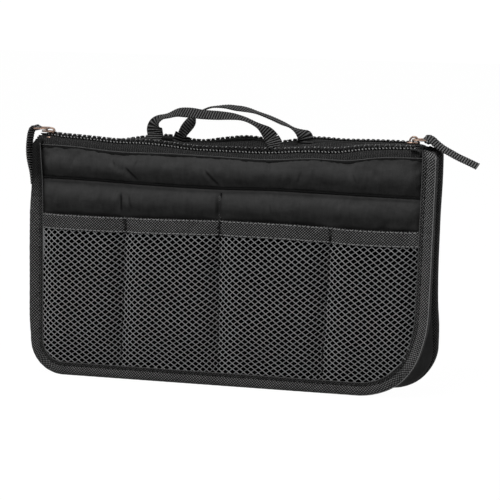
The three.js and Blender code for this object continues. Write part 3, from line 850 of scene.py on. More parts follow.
def creases(names, x, z):
    """Sharp folds: each a narrow furrow beside a ridge along a short slanted line."""
    total = np.zeros_like(x)
    for x0, z0, x1, z1, depth in CREASES[names]:
        run = np.hypot(x1 - x0, z1 - z0)
        along = ((x - x0) * (x1 - x0) + (z - z0) * (z1 - z0)) / run
        aside = ((x - x0) * (z1 - z0) - (z - z0) * (x1 - x0)) / run
        reach = smooth(along / 4) * smooth((run - along) / 8)
        total += depth * reach * (0.7 * np.exp(-((aside - 2.4) / 2.2) ** 2) - np.exp(-(aside / 1.3) ** 2))
    return total


def puff_up(piece, side, free, detail):
    """Blows up the free part of a padded piece's outer surface, and moves it out by the detail's heights."""
    loose = np.concatenate([free, np.zeros_like(free)], 1)
    simulate(piece, loose.ravel(), sizes().crush, 0.05)
    moved = np.empty(len(piece.data.vertices) * 3)
    piece.data.vertices.foreach_get("co", moved)
    grid = moved.reshape(len(free), -1, 3)
    grid[:, :free.shape[1], 1] += side * np.where(free, detail, 0) * MM
    piece.data.vertices.foreach_set("co", grid.ravel())
    piece.data.update()


def puckers(x, from_seam, seed):
    """Small gathers that start at a seam and die away: two sine waves of uneven pitch."""
    wave = np.sin(x * 0.83 + 1.7 * np.sin(x * 0.11 + seed)) + 0.6 * np.sin(x * 1.61 + seed)
    return 0.28 * wave * np.exp(-np.abs(from_seam) / 4.5) * smooth(from_seam / 1.5)


def side_pinch(x, reach=9.0, inset=9.0):
    """0 where the cloth is caught by the side bindings, and 1 away from them."""
    return smooth((HALF - inset - np.abs(x)) / reach) ** 0.6


class ORGANIZER_OT_padded_walls(bpy.types.Operator):
    """Makes the padded outer walls, whose bands swell between the slip pocket and the zip."""

    bl_idname = "organizer.padded_walls"
    bl_label = "Padded walls"

    def execute(self, context):
        for names, side in SIDES.items():
            radii = RADII[names]
            x = across_width(SKIN_INSET, PAD_COLUMNS)
            low = low_edge(x, SKIN_INSET, radii)
            high = through(x, SEAM_LINE[names])
            floor_line = through(x, SLIP_LINE[names]) - 0.8

            def front(gx, gz):
                bottom, top = floor_line[:, None], high[:, None]
                share = np.clip((gz - bottom) / (top - bottom), 0, 1)
                return SKIN_FAR + 0.3 + sizes().band_swell * np.sin(np.pi * share) ** 0.85 * side_pinch(gx)

            points, gx, gz = slab(side, x, low, high, front, lambda gx, gz: LINING_NEAR + 0 * gx, PAD_ROWS)
            piece = layer(points, x).piece(
                f"{names}_padded_wall", "satin", replaces=(
                    f"{names}_wall_skin", f"{names}_wall_foam", f"{names}_wall_lining"))
            free = ((gz > floor_line[:, None] + 2.5) & (gz < high[:, None] - 0.8)
                    & (np.abs(gx) < HALF - HELD))
            puff_up(piece, side, free, creases(names, gx, gz) + puckers(gx, high[:, None] - gz, 0.4))
            subdivide(piece)
            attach(piece, f"{names}_pouch")
        return {"FINISHED"}


# Height of the slip pocket's folded top edge, and the place of the seam that closes it in its middle
HEM_FOLD = 2.7
POCKET_SEAM = -5.0


class ORGANIZER_OT_slip_pockets(bpy.types.Operator):
    """Makes the padded slip pockets with their folded top edge and centre seam."""

    bl_idname = "organizer.slip_pockets"
    bl_label = "Slip pockets"

    def execute(self, context):
        for names, side in SIDES.items():
            radii = RADII[names]
            x = across_width(CLOTH_INSET, PAD_COLUMNS)
            low = low_edge(x, CLOTH_INSET, radii)
            high = through(x, SLIP_LINE[names])
            band_low = through(x, HEM_LINE[names]) - 1.0

            def front(gx, gz):
                bottom, top = band_low[:, None], high[:, None] - HEM_FOLD
                share = np.clip((gz - bottom) / (top - bottom), 0, 1)
                seam = 1 - 0.9 * np.exp(-((gx - POCKET_SEAM) / 1.9) ** 2)
                puff = 0.85 * sizes().band_swell * np.sin(np.pi * share) ** 0.85 * side_pinch(gx) * seam
                above = np.clip((gz - top) / HEM_FOLD, 0, 1)
                roll = 1.5 * np.sin(np.pi * above) ** 0.5 * (0.4 + 0.6 * side_pinch(gx))
                return SLIP_FAR + 0.5 + puff + roll

            points, gx, gz = slab(
                side, x, low, high, front, lambda gx, gz: SLIP_NEAR + 0.4 + 0 * gx, PAD_ROWS)
            piece = layer(points, x).piece(
                f"{names}_slip_pad", "satin", replaces=(f"{names}_slip_pocket",))
            free = ((gz > band_low[:, None] + 2) & (gz < high[:, None] - HEM_FOLD - 0.6)
                    & (np.abs(gx) < HALF - HELD) & (np.abs(gx - POCKET_SEAM) > 1.2))
            from_fold = high[:, None] - gz - HEM_FOLD
            puff_up(piece, side, free, creases(f"{names}_slip", gx, gz) + puckers(gx, from_fold, 1.9))
            # The slip pad's faces behind the net get the satin in painted shade
            piece.data.materials.append(material("backing"))
            heights = np.empty(len(piece.data.polygons) * 3)
            piece.data.polygons.foreach_get("center", heights)
            shaded = heights[2::3] < (HEM_TOP - 4) * MM
            piece.data.polygons.foreach_set("material_index", shaded.astype(np.int32))
            subdivide(piece)
            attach(piece, f"{names}_pouch")
        return {"FINISHED"}


# Net, flat pocket and hems

# The net's seams at the hem and at their feet, the inset at which the lower pockets start to swell, and the
# height from which they do
SEAM_TOPS = (-73.7, -4.9, 74.2)
SEAM_FEET = (-76.4, -4.9, 69.8)
POCKET_INSET = 9.0
POCKET_FOOT = 10.0


def pocket_swell(names, x, z):
    """How far the lower pockets stand out: each swells between its seams, eased over a share of its width,
    fades towards the bottom, and is held back at the hem."""
    tall = np.clip((z - POCKET_FOOT) / (HEM_TOP - POCKET_FOOT), 0, 1)
    if names == "front":
        seams = [foot + (top - foot) * tall for foot, top in zip(SEAM_FEET, SEAM_TOPS)]
        reach, swell = 16.5, sizes().pocket_swell
    else:
        seams = []
        reach, swell = 34.0, 3.0
    edge = np.full_like(x, HALF - POCKET_INSET)
    edges = [-edge, *seams, edge]
    rise = np.zeros_like(x)
    for left, right in zip(edges[:-1], edges[1:]):
        near = np.minimum(x - left, right - x)
        inside = near > 0
        rise = np.where(inside, 1 - (1 - np.clip(near / reach, 0, 1)) ** 2, rise)
    upward = smooth(tall / 0.3) ** 0.8 * (1 - 0.55 * eased(tall, 0.72, 0.28))
    return swell * rise * upward


# Height from which the net's rows are counted and its inset at the sides, and the height at which its cells
# keep their width round the swell
NET_FOOT = 8.0
NET_MIDDLE = 65.0
# How much the net's columns lean sideways with height, and how much its rows rise along the width
NET_LEAN, NET_RISE = 0.05, 0.044
# How far the falling strands stand out, and the rising ones sink, midway between their knots
INTERLACE = 0.14


class ORGANIZER_OT_net_pocket(bpy.types.Operator):
    """Makes the net pocket from crossing strands, one short tube for each side of a cell, and its seams."""

    bl_idname = "organizer.net_pocket"
    bl_label = "Net pocket"

    def execute(self, context):
        self.net()
        self.seams()
        return {"FINISHED"}

    @staticmethod
    def strands():
        """Middle points of the strands as [strand, start to end], and whether each strand falls. Cells lie
        evenly along the swell, with every other row moved by half a cell."""
        width, height = sizes().net_width, sizes().net_height / 2
        x = across_width(NET_FOOT, 1200)
        run = distances(np.stack([x, pocket_swell("front", x, np.full_like(x, NET_MIDDLE))], -1))
        columns, rows = int(run[-1] / width), int((HEM_LOW + 3 - NET_FOOT) / height)
        i, j = (a.ravel() for a in np.meshgrid(
            np.arange(-3, columns + 3), np.arange(-5, rows + 5), indexing="ij"))
        u = (i + 0.5 * (j % 2)) * width
        v = NET_FOOT + j * height
        starts_u, starts_v = np.concatenate([u, u]), np.concatenate([v, v])
        ends_u = np.concatenate([u + width / 2, u - width / 2])
        family = np.repeat([1.0, -1.0], len(u))
        t = np.array([0.0, 0.5, 1.0])
        line_u = starts_u[:, None] + (ends_u - starts_u)[:, None] * t
        line_v = starts_v[:, None] + height * t[None, :]
        line_x = np.interp(line_u, run, x)
        px = line_x + NET_LEAN * (line_v - NET_MIDDLE) + 0.5 * np.sin(line_v * 0.21 + line_u * 0.05)
        pz = line_v + NET_RISE * line_x + 0.5 * np.sin(line_u * 0.09)
        middle = np.array([0.0, 1.0, 0.0])
        distance = NET_FAR + 0.25 + pocket_swell("front", px, pz) - family[:, None] * INTERLACE * middle
        kept = (from_edge(px[:, 1], pz[:, 1], RADII["front"]) > 8.6) & (pz[:, 1] < HEM_LOW + 2.5)
        return place(-1, px, distance, pz)[kept], family[kept] < 0

    def net(self):
        """Each strand as a short flattened tube, thicker at its ends, where it is knotted to the next."""
        centre, falling = self.strands()
        way = unit(np.gradient(centre, axis=1))
        aside = unit(np.cross(way, np.broadcast_to(-LEVEL, way.shape)))
        turn = around(6)
        radius = sizes().strand * np.array([1.35, 0.95, 1.35])
        ring = (aside[:, :, None] * np.cos(turn)[None, None, :, None] * 1.1
                + np.cross(aside, way)[:, :, None] * np.sin(turn)[None, None, :, None] * 0.8)
        points = centre[:, :, None] + ring * radius[None, :, None, None]
        net = Shape().tube(points, falling[:, None] + np.zeros(3)).piece(
            "front_net", "net", body="front_pouch", replaces=("front_net_pocket",))

    @staticmethod
    def seams():
        """The stitches that part the net into bays, and the tack of each one on the hem."""
        sewn = Shape()
        z = np.linspace(14, HEM_LOW - 0.5, 60)
        for foot, top in zip(SEAM_FEET, SEAM_TOPS):
            seam = foot + (top - foot) * (z - POCKET_FOOT) / (HEM_TOP - POCKET_FOOT)
            line = place(-1, seam + 0.5 * np.sin(z * 0.9), NET_FAR + 0.5 + pocket_swell("front", seam, z), z)
            stitches(sewn, line, -LEVEL, 2.6, 0.42, 0.35)
            high = through(np.array([top]), HEM_LINE["front"])[0]
            up = np.linspace(HEM_LOW - 1, high - 0.6, 24)
            tack_far = BINDING_FAR + 0.05 + pocket_swell("front", up * 0 + top, up)
            tack = place(-1, top + 1.1 * np.sin(up * 2.6), tack_far, up)
            stitches(sewn, tack, -LEVEL, 1.6, 0.42, 0.1)
        sewn.piece("front_net_seams", "dark_thread", body="front_pouch")


class ORGANIZER_OT_flat_pocket(bpy.types.Operator):
    """Makes the rear pouch's flat pocket, one sheet in the net's place."""

    bl_idname = "organizer.flat_pocket"
    bl_label = "Flat pocket"

    def execute(self, context):
        x = across_width(CLOTH_INSET, 200)
        high = through(x, HEM_LINE["rear"]) - 0.4

        def front(gx, gz):
            ripple = 0.35 * np.sin(gx * 0.09 + gz * 0.05) * np.sin(gz * 0.07)
            return NET_FAR + 0.1 + (pocket_swell("rear", gx, gz) + ripple) * side_pinch(gx)

        low = low_edge(x, CLOTH_INSET, RADII["rear"])
        points, _, _ = slab(1, x, low, high, front, lambda gx, gz: front(gx, gz) - 0.5, 40)
        pocket = layer(points, x).piece(
            "rear_flat_cloth", "satin", body="rear_pouch", replaces=("rear_flat_pocket",))
        return {"FINISHED"}


class ORGANIZER_OT_hems(bpy.types.Operator):
    """Makes the twill tape across the top of the net and of the rear pocket, with its two stitch lines."""

    bl_idname = "organizer.hems"
    bl_label = "Pocket hems"

    def execute(self, context):
        for names, side in SIDES.items():
            x = across_width(8.5, 240)
            high = through(x, HEM_LINE[names])
            low = high - (HEM_TOP - HEM_LOW)

            def front(gx, gz):
                edge = np.minimum(high[:, None] - gz, gz - low[:, None])
                sunk = 0.35 * np.exp(-((edge - 1.2) / 0.5) ** 2)
                return BINDING_FAR - 0.2 + pocket_swell(names, gx, gz) - sunk

            points, _, gz = slab(side, x, low, high, front, lambda gx, gz: front(gx, gz) - 0.9, 22)
            Shape().tube(points, x, np.concatenate([gz[0], gz[0, ::-1]])).piece(
                f"{names}_hem_tape", "twill", body=f"{names}_pouch", replaces=(f"{names}_pocket_hem",))
            sewn = Shape()
            for line in (high - 0.8, low + 0.8):
                at = place(side, x, front(x[:, None], line[:, None])[:, 0] + 0.12, line)
                stitches(sewn, at, side * LEVEL, sizes().stitch, 0.33, 0.35)
            sewn.piece(f"{names}_hem_stitches", "thread", body=f"{names}_pouch")
        return {"FINISHED"}


# Bindings

# Distance at which the tape closes at its upper ends, how far it reaches in from the rim, and its thickness
CLOSED = (WALL_RIM + LINING_NEAR) / 2
TAPE_REACH = 9.6
TAPE_THICKNESS = 0.75


def binding_section(depth):
    """The tape's section as one loop of insets and depths: along its outer side, round the rim and back
    along its inner side, then the same way back inside its thickness. lift is how far each side stands up
    at its rolled edge and its crown, and sinks at the furrow of its stitches."""
    flange = np.array([TAPE_REACH, 9.0, 8.2, 7.4, 6.9, 6.2, 5.2, 4.0, 2.6, 1.2])
    lift = np.array([0.3, 0.45, 0.35, -0.3, -0.55, -0.1, 0.6, 0.9, 0.9, 0.65])
    bend = np.linspace(0, np.pi, 9)
    fold = 0.6 - 0.6 * np.sin(bend) ** 0.4
    inset = np.concatenate([flange, fold, flange[::-1]])
    across = np.concatenate([depth + lift, depth * np.cos(bend), -(depth + lift[::-1])])
    inner_inset = np.concatenate([flange, fold + TAPE_THICKNESS, flange[::-1]])
    inner_across = across - TAPE_THICKNESS * np.sign(across) * np.minimum(np.abs(across) / 2, 1)
    return np.concatenate([inset, inner_inset[::-1]]), np.concatenate([across, inner_across[::-1]])


def right_rise(x, z, height):
    """How far the right side is drawn up: nothing below 130 mm, and height from 170 mm up."""
    return height * eased(z, 130, 40) * (x > 0)


class ORGANIZER_OT_bindings(bpy.types.Operator):
    """Makes the folded twill tape round each pouch, with the furrow that its stitches draw in."""

    bl_idname = "organizer.bindings"
    bl_label = "Bindings"

    def execute(self, context):
        for names, side in SIDES.items():
            along = np.linspace(0, rim_length(RADII[names], BINDING_TOP), 420)
            self.tape(names, side, along)
            self.sewing(names, side, along)
            self.edge_highlights(names, side, along)
        return {"FINISHED"}

    @staticmethod
    def tape(names, side, along):
        """The tape itself: wavy along its run, and pinched shut at its upper ends."""
        inset, across = binding_section((BINDING_FAR - BINDING_NEAR) / 2)
        x, z = rim(along[:, None], inset[None, :], RADII[names], BINDING_TOP)
        wobble = 0.35 * np.sin(along * 0.045) + 0.2 * np.sin(along * 0.13 + 1)
        ripple = 0.16 * np.sin(along * 1.15 + 2 * np.sin(along * 0.2))[:, None] * (inset < 7)
        distance = (BINDING_FAR + BINDING_NEAR) / 2 + across[None, :] + np.sign(across)[None, :] * ripple
        rise = right_rise(x, z, 0.6 + 2.6 * np.clip(inset / TAPE_REACH, 0, 1))
        end = smooth(1 - (BINDING_TOP - z) / 4.5)
        x = x - np.sign(x) * 1.8 * end ** 2 * (1 - smooth(inset / 9))[None, :]
        distance = CLOSED + (distance - CLOSED) * (1 - 0.8 * end ** 2)
        points = place(side, x + wobble[:, None] * 0.3, distance, z + rise)
        Shape().tube(points, along, distances(np.stack([inset, across], -1))).piece(
            f"{names}_edge_binding", "twill", body=f"{names}_pouch", replaces=(f"{names}_binding",))

    @staticmethod
    def sewing(names, side, along):
        """The stitches in the tape's furrow."""
        sewn = Shape()
        sewn_along = along[(along > 5) & (along < along[-1] - 5)]
        x, z = rim(sewn_along, 7.15, RADII[names], BINDING_TOP)
        x = x + 0.1 * np.sin(sewn_along * 0.045)
        line = place(side, x, BINDING_FAR - 0.4, z + right_rise(x, z, 2.5))
        stitches(sewn, line, side * LEVEL, sizes().stitch, 0.3)
        sewn.piece(f"{names}_binding_stitches", "dark_thread", body=f"{names}_pouch")

    @staticmethod
    def edge_highlights(names, side, along):
        """Light lines painted as highlights where the tape's edges catch the light: along its inner line, and
        on the right rim.
        """
        on_right = along > along[-1] - BINDING_TOP - 50
        # Painted highlights: light tubes along the tape's inner edge and on its right rim
        for kind, look, inset, lift, part in (
                ("inner", "edge_thread", 9.5, 0.25, along > 0), ("outer", "selvedge", 0.6, 0.1, on_right)):
            x, z = rim(along[part], inset, RADII[names], BINDING_TOP - 0.6)
            edge = place(side, x, BINDING_FAR + lift, z + right_rise(x, z, 0.6 + 0.27 * inset))
            Shape().tube(along_path(edge, LEVEL, 0.3, 0.3, 8, 1.0), along[part]).piece(
                f"{names}_{kind}_selvedge", look, body=f"{names}_pouch")


# Inner walls and gusset

class ORGANIZER_OT_inner_walls(bpy.types.Operator):
    """Makes the cloth walls of the centre compartment, drawn in at their sides and bottom."""

    bl_idname = "organizer.inner_walls"
    bl_label = "Inner walls"

    def execute(self, context):
        for names, side in SIDES.items():
            radii = RADII[names]
            x = across_width(CLOTH_INSET, PAD_COLUMNS)

            def outer(gx, gz):
                edge = from_edge(gx, gz, radii)
                ease = (1 - np.cos(np.pi * np.clip((25 - edge) / 14, 0, 1))) / 2
                slack = 0.5 * np.sin(gx * 0.05 + 0.8) * np.sin(gz * 0.04) * (1 - ease)
                return WALL_NEAR + 0.7 + slack + (WALL_RIM - 1.4 - WALL_NEAR) * ease

            points, _, _ = slab(
                side, x, low_edge(x, CLOTH_INSET, radii), through(x, WALL_LINE[names]), outer,
                lambda gx, gz: outer(gx, gz) - 0.6, 48)
            wall = layer(points, x).piece(
                f"{names}_inner_cloth", "lining", body=f"{names}_pouch", replaces=(f"{names}_inner_wall",))
        return {"FINISHED"}


class ORGANIZER_OT_gusset(bpy.types.Operator):
    """Makes the strip between the pouches, from one outline to the other, with one soft fold inwards."""

    bl_idname = "organizer.gusset"
    bl_label = "Centre gusset"

    def execute(self, context):
        radii = RADII["rear"]
        total = rim_length(radii, BINDING_TOP)
        along = np.linspace(0, total, 260)
        share = np.linspace(-1, 1, 25)
        fold = np.cos(np.pi * share / 2) ** 2
        start = GUSSET_INSET
        side_share = 1 - eased(along, 120, 60) * smooth((total - 120 - along) / 60)
        inset = start * side_share[:, None] + 0.3 + (1.2 + 5.3 * side_share[:, None]) * fold[None, :]
        inset = inset + 0.25 * np.sin(along * 0.11)[:, None] * fold[None, :]
        loop = np.concatenate([inset, inset[:, ::-1] + 0.6], 1)
        distance = np.concatenate([share, share[::-1]]) * (GUSSET_HALF + 0.4)
        x, z = rim(along[:, None], loop, radii, BINDING_TOP)
        front_along = along * rim_length(RADII["front"], BINDING_TOP) / total
        front_x, front_z = rim(front_along[:, None], loop, RADII["front"], BINDING_TOP)
        forward = smooth((1 - distance / distance.max()) / 2)
        x = settle(1, x, z) * (1 - forward) + settle(-1, front_x, front_z) * forward
        z = z * (1 - forward) + front_z * forward
        points = np.stack([x, np.broadcast_to(distance, x.shape), z], -1)
        cloth = Shape().tube(points, along, np.arange(50)).piece(
            "gusset_cloth", "lining", replaces=("centre_gusset",))
        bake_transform(cloth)
        return {"FINISHED"}


# Zips

def chain_line(names, x):
    """Height of the chain and how far it rolls towards the outer side, from the seams on both sides of it."""
    z = through(x, CHAIN_LINE[names])
    fall = through(x, WALL_LINE[names]) - through(x, SEAM_LINE[names])
    roll = np.arctan2(fall, 11.5) * 0.85 * smooth((CHAIN_Z + 1 - z) / 4 + 0.35)
    return z, roll


# How far from the chain's middle each tape begins, how far it lies flat from there, and half its thickness
TAPE_START = 2.1
TAPE_FLAT = 2.4
TAPE_HALF = 0.3


def tape_curve(names, x, outer, steps):
    """A tape's middle line in section: a quadratic curve from the chain to its seam."""
    z, roll = chain_line(names, x)
    sign = 1 if outer else -1
    edge_d = CHAIN_DISTANCE + sign * TAPE_START * np.cos(roll)
    edge_z = z - sign * TAPE_START * np.sin(roll) - 0.5
    if outer:
        end_d, end_z = np.full_like(x, SKIN_FAR - 1.6), through(x, SEAM_LINE[names]) - 1.5
        bend_d = np.minimum(edge_d + TAPE_FLAT * np.cos(roll), end_d)
        bend_z = edge_z - TAPE_FLAT * np.sin(roll)
    else:
        end_d, end_z = np.full_like(x, WALL_NEAR + 0.5), through(x, WALL_LINE[names]) - 0.2
        bend_d, bend_z = (edge_d + end_d) / 2 - 0.4, np.maximum(edge_z, end_z) * 0.6 + edge_z * 0.4 + 0.2
    t = np.linspace(0, 1, steps)[None, :]

    def curve(a, b, c):
        return (1 - t) ** 2 * a[:, None] + 2 * t * (1 - t) * b[:, None] + t ** 2 * c[:, None]

    return curve(edge_d, bend_d, end_d), curve(edge_z, bend_z, end_z)


# Where each row of teeth begins, from the chain's left end: the front row hides under its slider
TEETH_FROM = {"front": 6.5, "rear": 4.0}


class ORGANIZER_OT_zips(bpy.types.Operator):
    """Makes the zips: woven tapes, two rows of interlocked teeth with their sewing, and folded tape ends."""

    bl_idname = "organizer.zips"
    bl_label = "Zips"

    def execute(self, context):
        for names, side in SIDES.items():
            x = np.linspace(CHAIN_LEFT - 1.0, CHAIN_RIGHT + 3.5, 260)
            for outer in (True, False):
                d, z = tape_curve(names, x, outer, 12)
                slope_d, slope_z = np.gradient(d, axis=1), np.gradient(z, axis=1)
                long = np.hypot(slope_d, slope_z)
                off_d, off_z = -slope_z / long * TAPE_HALF, slope_d / long * TAPE_HALF
                loop_d = np.concatenate([d + off_d, (d - off_d)[:, ::-1]], 1)
                loop_z = np.concatenate([z + off_z, (z - off_z)[:, ::-1]], 1)
                grid_x = np.repeat(x[:, None], loop_d.shape[1], 1)
                across = np.concatenate([np.arange(12.0), np.arange(12.0)[::-1]]) * 0.9
                kind = "outer" if outer else "inner"
                Shape().tube(place(side, grid_x, loop_d, loop_z), x, across).piece(
                    f"{names}_{kind}_tape", "zip_tape", body=f"{names}_pouch",
                    replaces=(f"{names}_zip_{kind}_tape",))
                self.teeth(names, side, outer)
            self.sewing(names, side)
            self.ends(names, side)
        return {"FINISHED"}

    @staticmethod
    def frame_at(names, side, x):
        """Chain centre, its outward way across and its upward way, at each x."""
        z, roll = chain_line(names, x)
        centre = np.stack([settle(side, x, z), np.full_like(x, side * CHAIN_DISTANCE), z], -1)
        across = np.stack([0 * x, side * np.cos(roll), -np.sin(roll)], -1)
        up = np.stack([0 * x, side * np.sin(roll), np.cos(roll)], -1)
        return centre, across, up

    def teeth(self, names, side, outer):
        """Each tooth is a rounded block: a superellipse in plan, narrower towards its top."""
        pitch = sizes().tooth_pitch
        x = np.arange(CHAIN_LEFT + TEETH_FROM[names] + (0 if outer else pitch / 2), CHAIN_RIGHT - 0.5, pitch)
        centre, across, up = self.frame_at(names, side, x)
        sign = 1 if outer else -1
        turn = around(8)
        plan_x = squared(np.cos(turn), 0.6) * 1.3
        plan_y = squared(np.sin(turn), 0.6) * 1.55
        levels = np.array([-1.25, -0.9, 0.5, 1.15, 1.4]) + (-0.2 if outer else 0.5)
        fat = np.array([0.75, 1.0, 1.0, 0.8, 0.35])
        offset = sign * 0.75 + plan_y[None, :] * fat[:, None]
        long = plan_x[None, :] * fat[:, None]
        high = np.repeat(levels[:, None], 8, 1)
        points = (centre[:, None, None] + across[:, None, None] * offset[None, :, :, None]
                  + up[:, None, None] * high[None, :, :, None])
        points[..., 0] += long[None]
        kind = "outer" if outer else "inner"
        Shape().tube(points).piece(
            f"{names}_{kind}_row", "teeth", body=f"{names}_pouch", replaces=(f"{names}_zip_{kind}_teeth",))

    def sewing(self, names, side):
        """Light thread between the teeth on both sides of the chain."""
        pitch = sizes().sewing_pitch
        shape = Shape()
        for sign in (1, -1):
            start = CHAIN_LEFT + TEETH_FROM[names] + (pitch / 2 if sign > 0 else 0)
            x = np.arange(start, CHAIN_RIGHT - 0.5, pitch)
            centre, across, up = self.frame_at(names, side, x)
            at = centre + across * sign * 2.0 + up * (0.75 if sign > 0 else 1.0)
            slant = across * 0.7 + np.array([0.65 * sign, 0, 0])
            beads(shape, at, slant, up, 1.5, 0.46)
        shape.piece(f"{names}_zip_sewing", "thread", body=f"{names}_pouch")

    def ends(self, names, side):
        """Folded tape ends: at the left a short turned-up end, at the right one that curls under and whose
        outer part shows beside the binding."""
        centre_y = side * CHAIN_DISTANCE
        left_z = through(np.array([CHAIN_LEFT]), CHAIN_LINE[names])[0]
        left = [(CHAIN_LEFT + 4.5, centre_y, left_z - 0.6), (CHAIN_LEFT + 2.4, centre_y, left_z - 0.9),
                (CHAIN_LEFT + 1.2, centre_y, left_z - 2.6), (CHAIN_LEFT + 1.8, centre_y, left_z - 5.0)]
        right_z = through(np.array([CHAIN_RIGHT]), CHAIN_LINE[names])[0]
        curl_y = centre_y + side * 3.4
        right = [(CHAIN_RIGHT - 2.5, curl_y, right_z - 0.4), (CHAIN_RIGHT + 0.6, curl_y, right_z - 0.6),
                 (CHAIN_RIGHT + 3.6, curl_y, right_z - 1.8), (CHAIN_RIGHT + 4.3, curl_y, right_z - 4.2),
                 (CHAIN_RIGHT + 2.6, curl_y, right_z - 6.2), (CHAIN_RIGHT + 0.2, curl_y, right_z - 5.6),
                 (CHAIN_RIGHT - 0.4, curl_y, right_z - 3.6)]
        for kind, line, half in (("left", left, 2.7), ("right", right, 3.2)):
            path, along = spaced(line, 0.5)
            points = along_path(path, LEVEL, half, 0.45, 16, 0.5)
            Shape().tube(points, along, np.arange(16) * 0.6).piece(
                f"{names}_{kind}_zip_end", "zip_tape", body=f"{names}_pouch",
                replaces=(f"{names}_zip_{kind}_tab",))


# Piping, sliders, pulls and handles

class ORGANIZER_OT_piping(bpy.types.Operator):
    """Makes the rolled edge where each padded wall meets its zip, with a painted highlight on it, dark tubes
    of painted shade, and the stitches of walls and slip pockets."""

    bl_idname = "organizer.piping"
    bl_label = "Piping and stitches"

    def execute(self, context):
        for names, side in SIDES.items():
            x = np.linspace(-HALF + 8, HALF - 9, 320)
            seam, slip = through(x, SEAM_LINE[names]), through(x, SLIP_LINE[names])
            self.piping(names, side, x, seam)
            self.pocket_stitches(names, side)
            self.painted_shade_lines(names, side, x, seam, slip)
        return {"FINISHED"}

    @staticmethod
    def piping(names, side, x, seam):
        """The satin roll along the zip's seam, and a light tube on it, a painted highlight along its top."""
        roll = place(side, x, SKIN_FAR - 0.6, seam + 0.2)
        Shape().tube(along_path(roll, LEVEL, 0.95, 0.8, 10, 1.0), x, np.arange(10) * 0.6).piece(
            f"{names}_seam_roll", "satin", body=f"{names}_pouch")
        # Painted highlight along the top of the roll
        edge = place(side, x, SKIN_FAR + 0.25, seam + 0.75)
        Shape().tube(along_path(edge, LEVEL, 0.32, 0.32, 8, 1.0), x).piece(
            f"{names}_seam_highlight", "edge_thread", body=f"{names}_pouch")

    @staticmethod
    def pocket_stitches(names, side):
        """The zigzag that closes the slip pocket in its middle, with a tighter tack at its top."""
        sewn = Shape()
        height = np.linspace(HEM_TOP + 1, SLIP_TOP - 4.5, 60)
        zigzag = place(side, POCKET_SEAM + 0.9 * np.sin(height * 1.9), SLIP_FAR + 1.3, height)
        stitches(sewn, zigzag, side * LEVEL, 1.4, 0.3, 0.6)
        height = np.linspace(SLIP_TOP - 9.0, SLIP_TOP - 5.5, 16)
        tack = place(side, POCKET_SEAM - 0.4 + 1.2 * np.sin(height * 4.4), SLIP_FAR + 1.5, height)
        stitches(sewn, tack, side * LEVEL, 1.3, 0.24, 0.2)
        sewn.piece(f"{names}_pocket_stitches", "edge_thread", body=f"{names}_pouch")

    @staticmethod
    def painted_shade_lines(names, side, x, seam, slip):
        """Dark tubes of painted shade under the zip's seam, over the slip pocket and along its middle seam,
        and the stitches under the slip pocket's folded edge."""
        dark = Shape()
        # Painted shade: near-black tubes where shade falls under the seam and over the slip pocket
        for distance, height in ((SKIN_FAR + 0.5, seam - 1.0), (SLIP_FAR + 0.9, slip + 0.5)):
            shade_line = place(side, x, distance, height)
            dark.tube(along_path(shade_line, LEVEL, 0.7, 0.75, 8, 1.0), x)
        hem = place(side, x, SLIP_FAR + 0.35, slip - 2.6)
        stitches(dark, hem, side * LEVEL, sizes().stitch, 0.3)
        height = np.linspace(HEM_TOP + 0.5, SLIP_TOP - 3.5, 30)
        middle = place(side, POCKET_SEAM + 0.7, SLIP_FAR + 0.95, height)
        dark.tube(along_path(middle, LEVEL, 0.5, 0.5, 8, 1.0), height)
        dark.piece(f"{names}_painted_shade_and_stitches", "dark_thread", body=f"{names}_pouch")


def plate(shape, centre, half_length, half_width, low, high, tip):
    """A slider plate: in plan a long superellipse that narrows towards its tip, with rounded rims."""
    turn = around(28)
    plan_x = half_length * squared(np.cos(turn), 0.7)
    narrow = 1 - 0.28 * smooth((plan_x * tip / half_length + 0.2) / 1.2)
    plan_y = half_width * squared(np.sin(turn), 0.7) * narrow
    share = np.array([0.0, 0.12, 0.45, 0.8, 0.95, 1.0])
    fat = np.array([0.86, 0.98, 1.0, 0.95, 0.86, 0.7])
    points = np.stack([
        centre[0] + plan_x[None] * fat[:, None], centre[1] + plan_y[None] * fat[:, None],
        np.repeat((low + (high - low) * share)[:, None], 28, 1)], -1)
    return shape.tube(points)


# Each bail's place along the width from its ring's axle, and its height above the slider's upper plate
BAILS = {"front": (1.6, 1.6), "rear": (0.6, 3.2)}


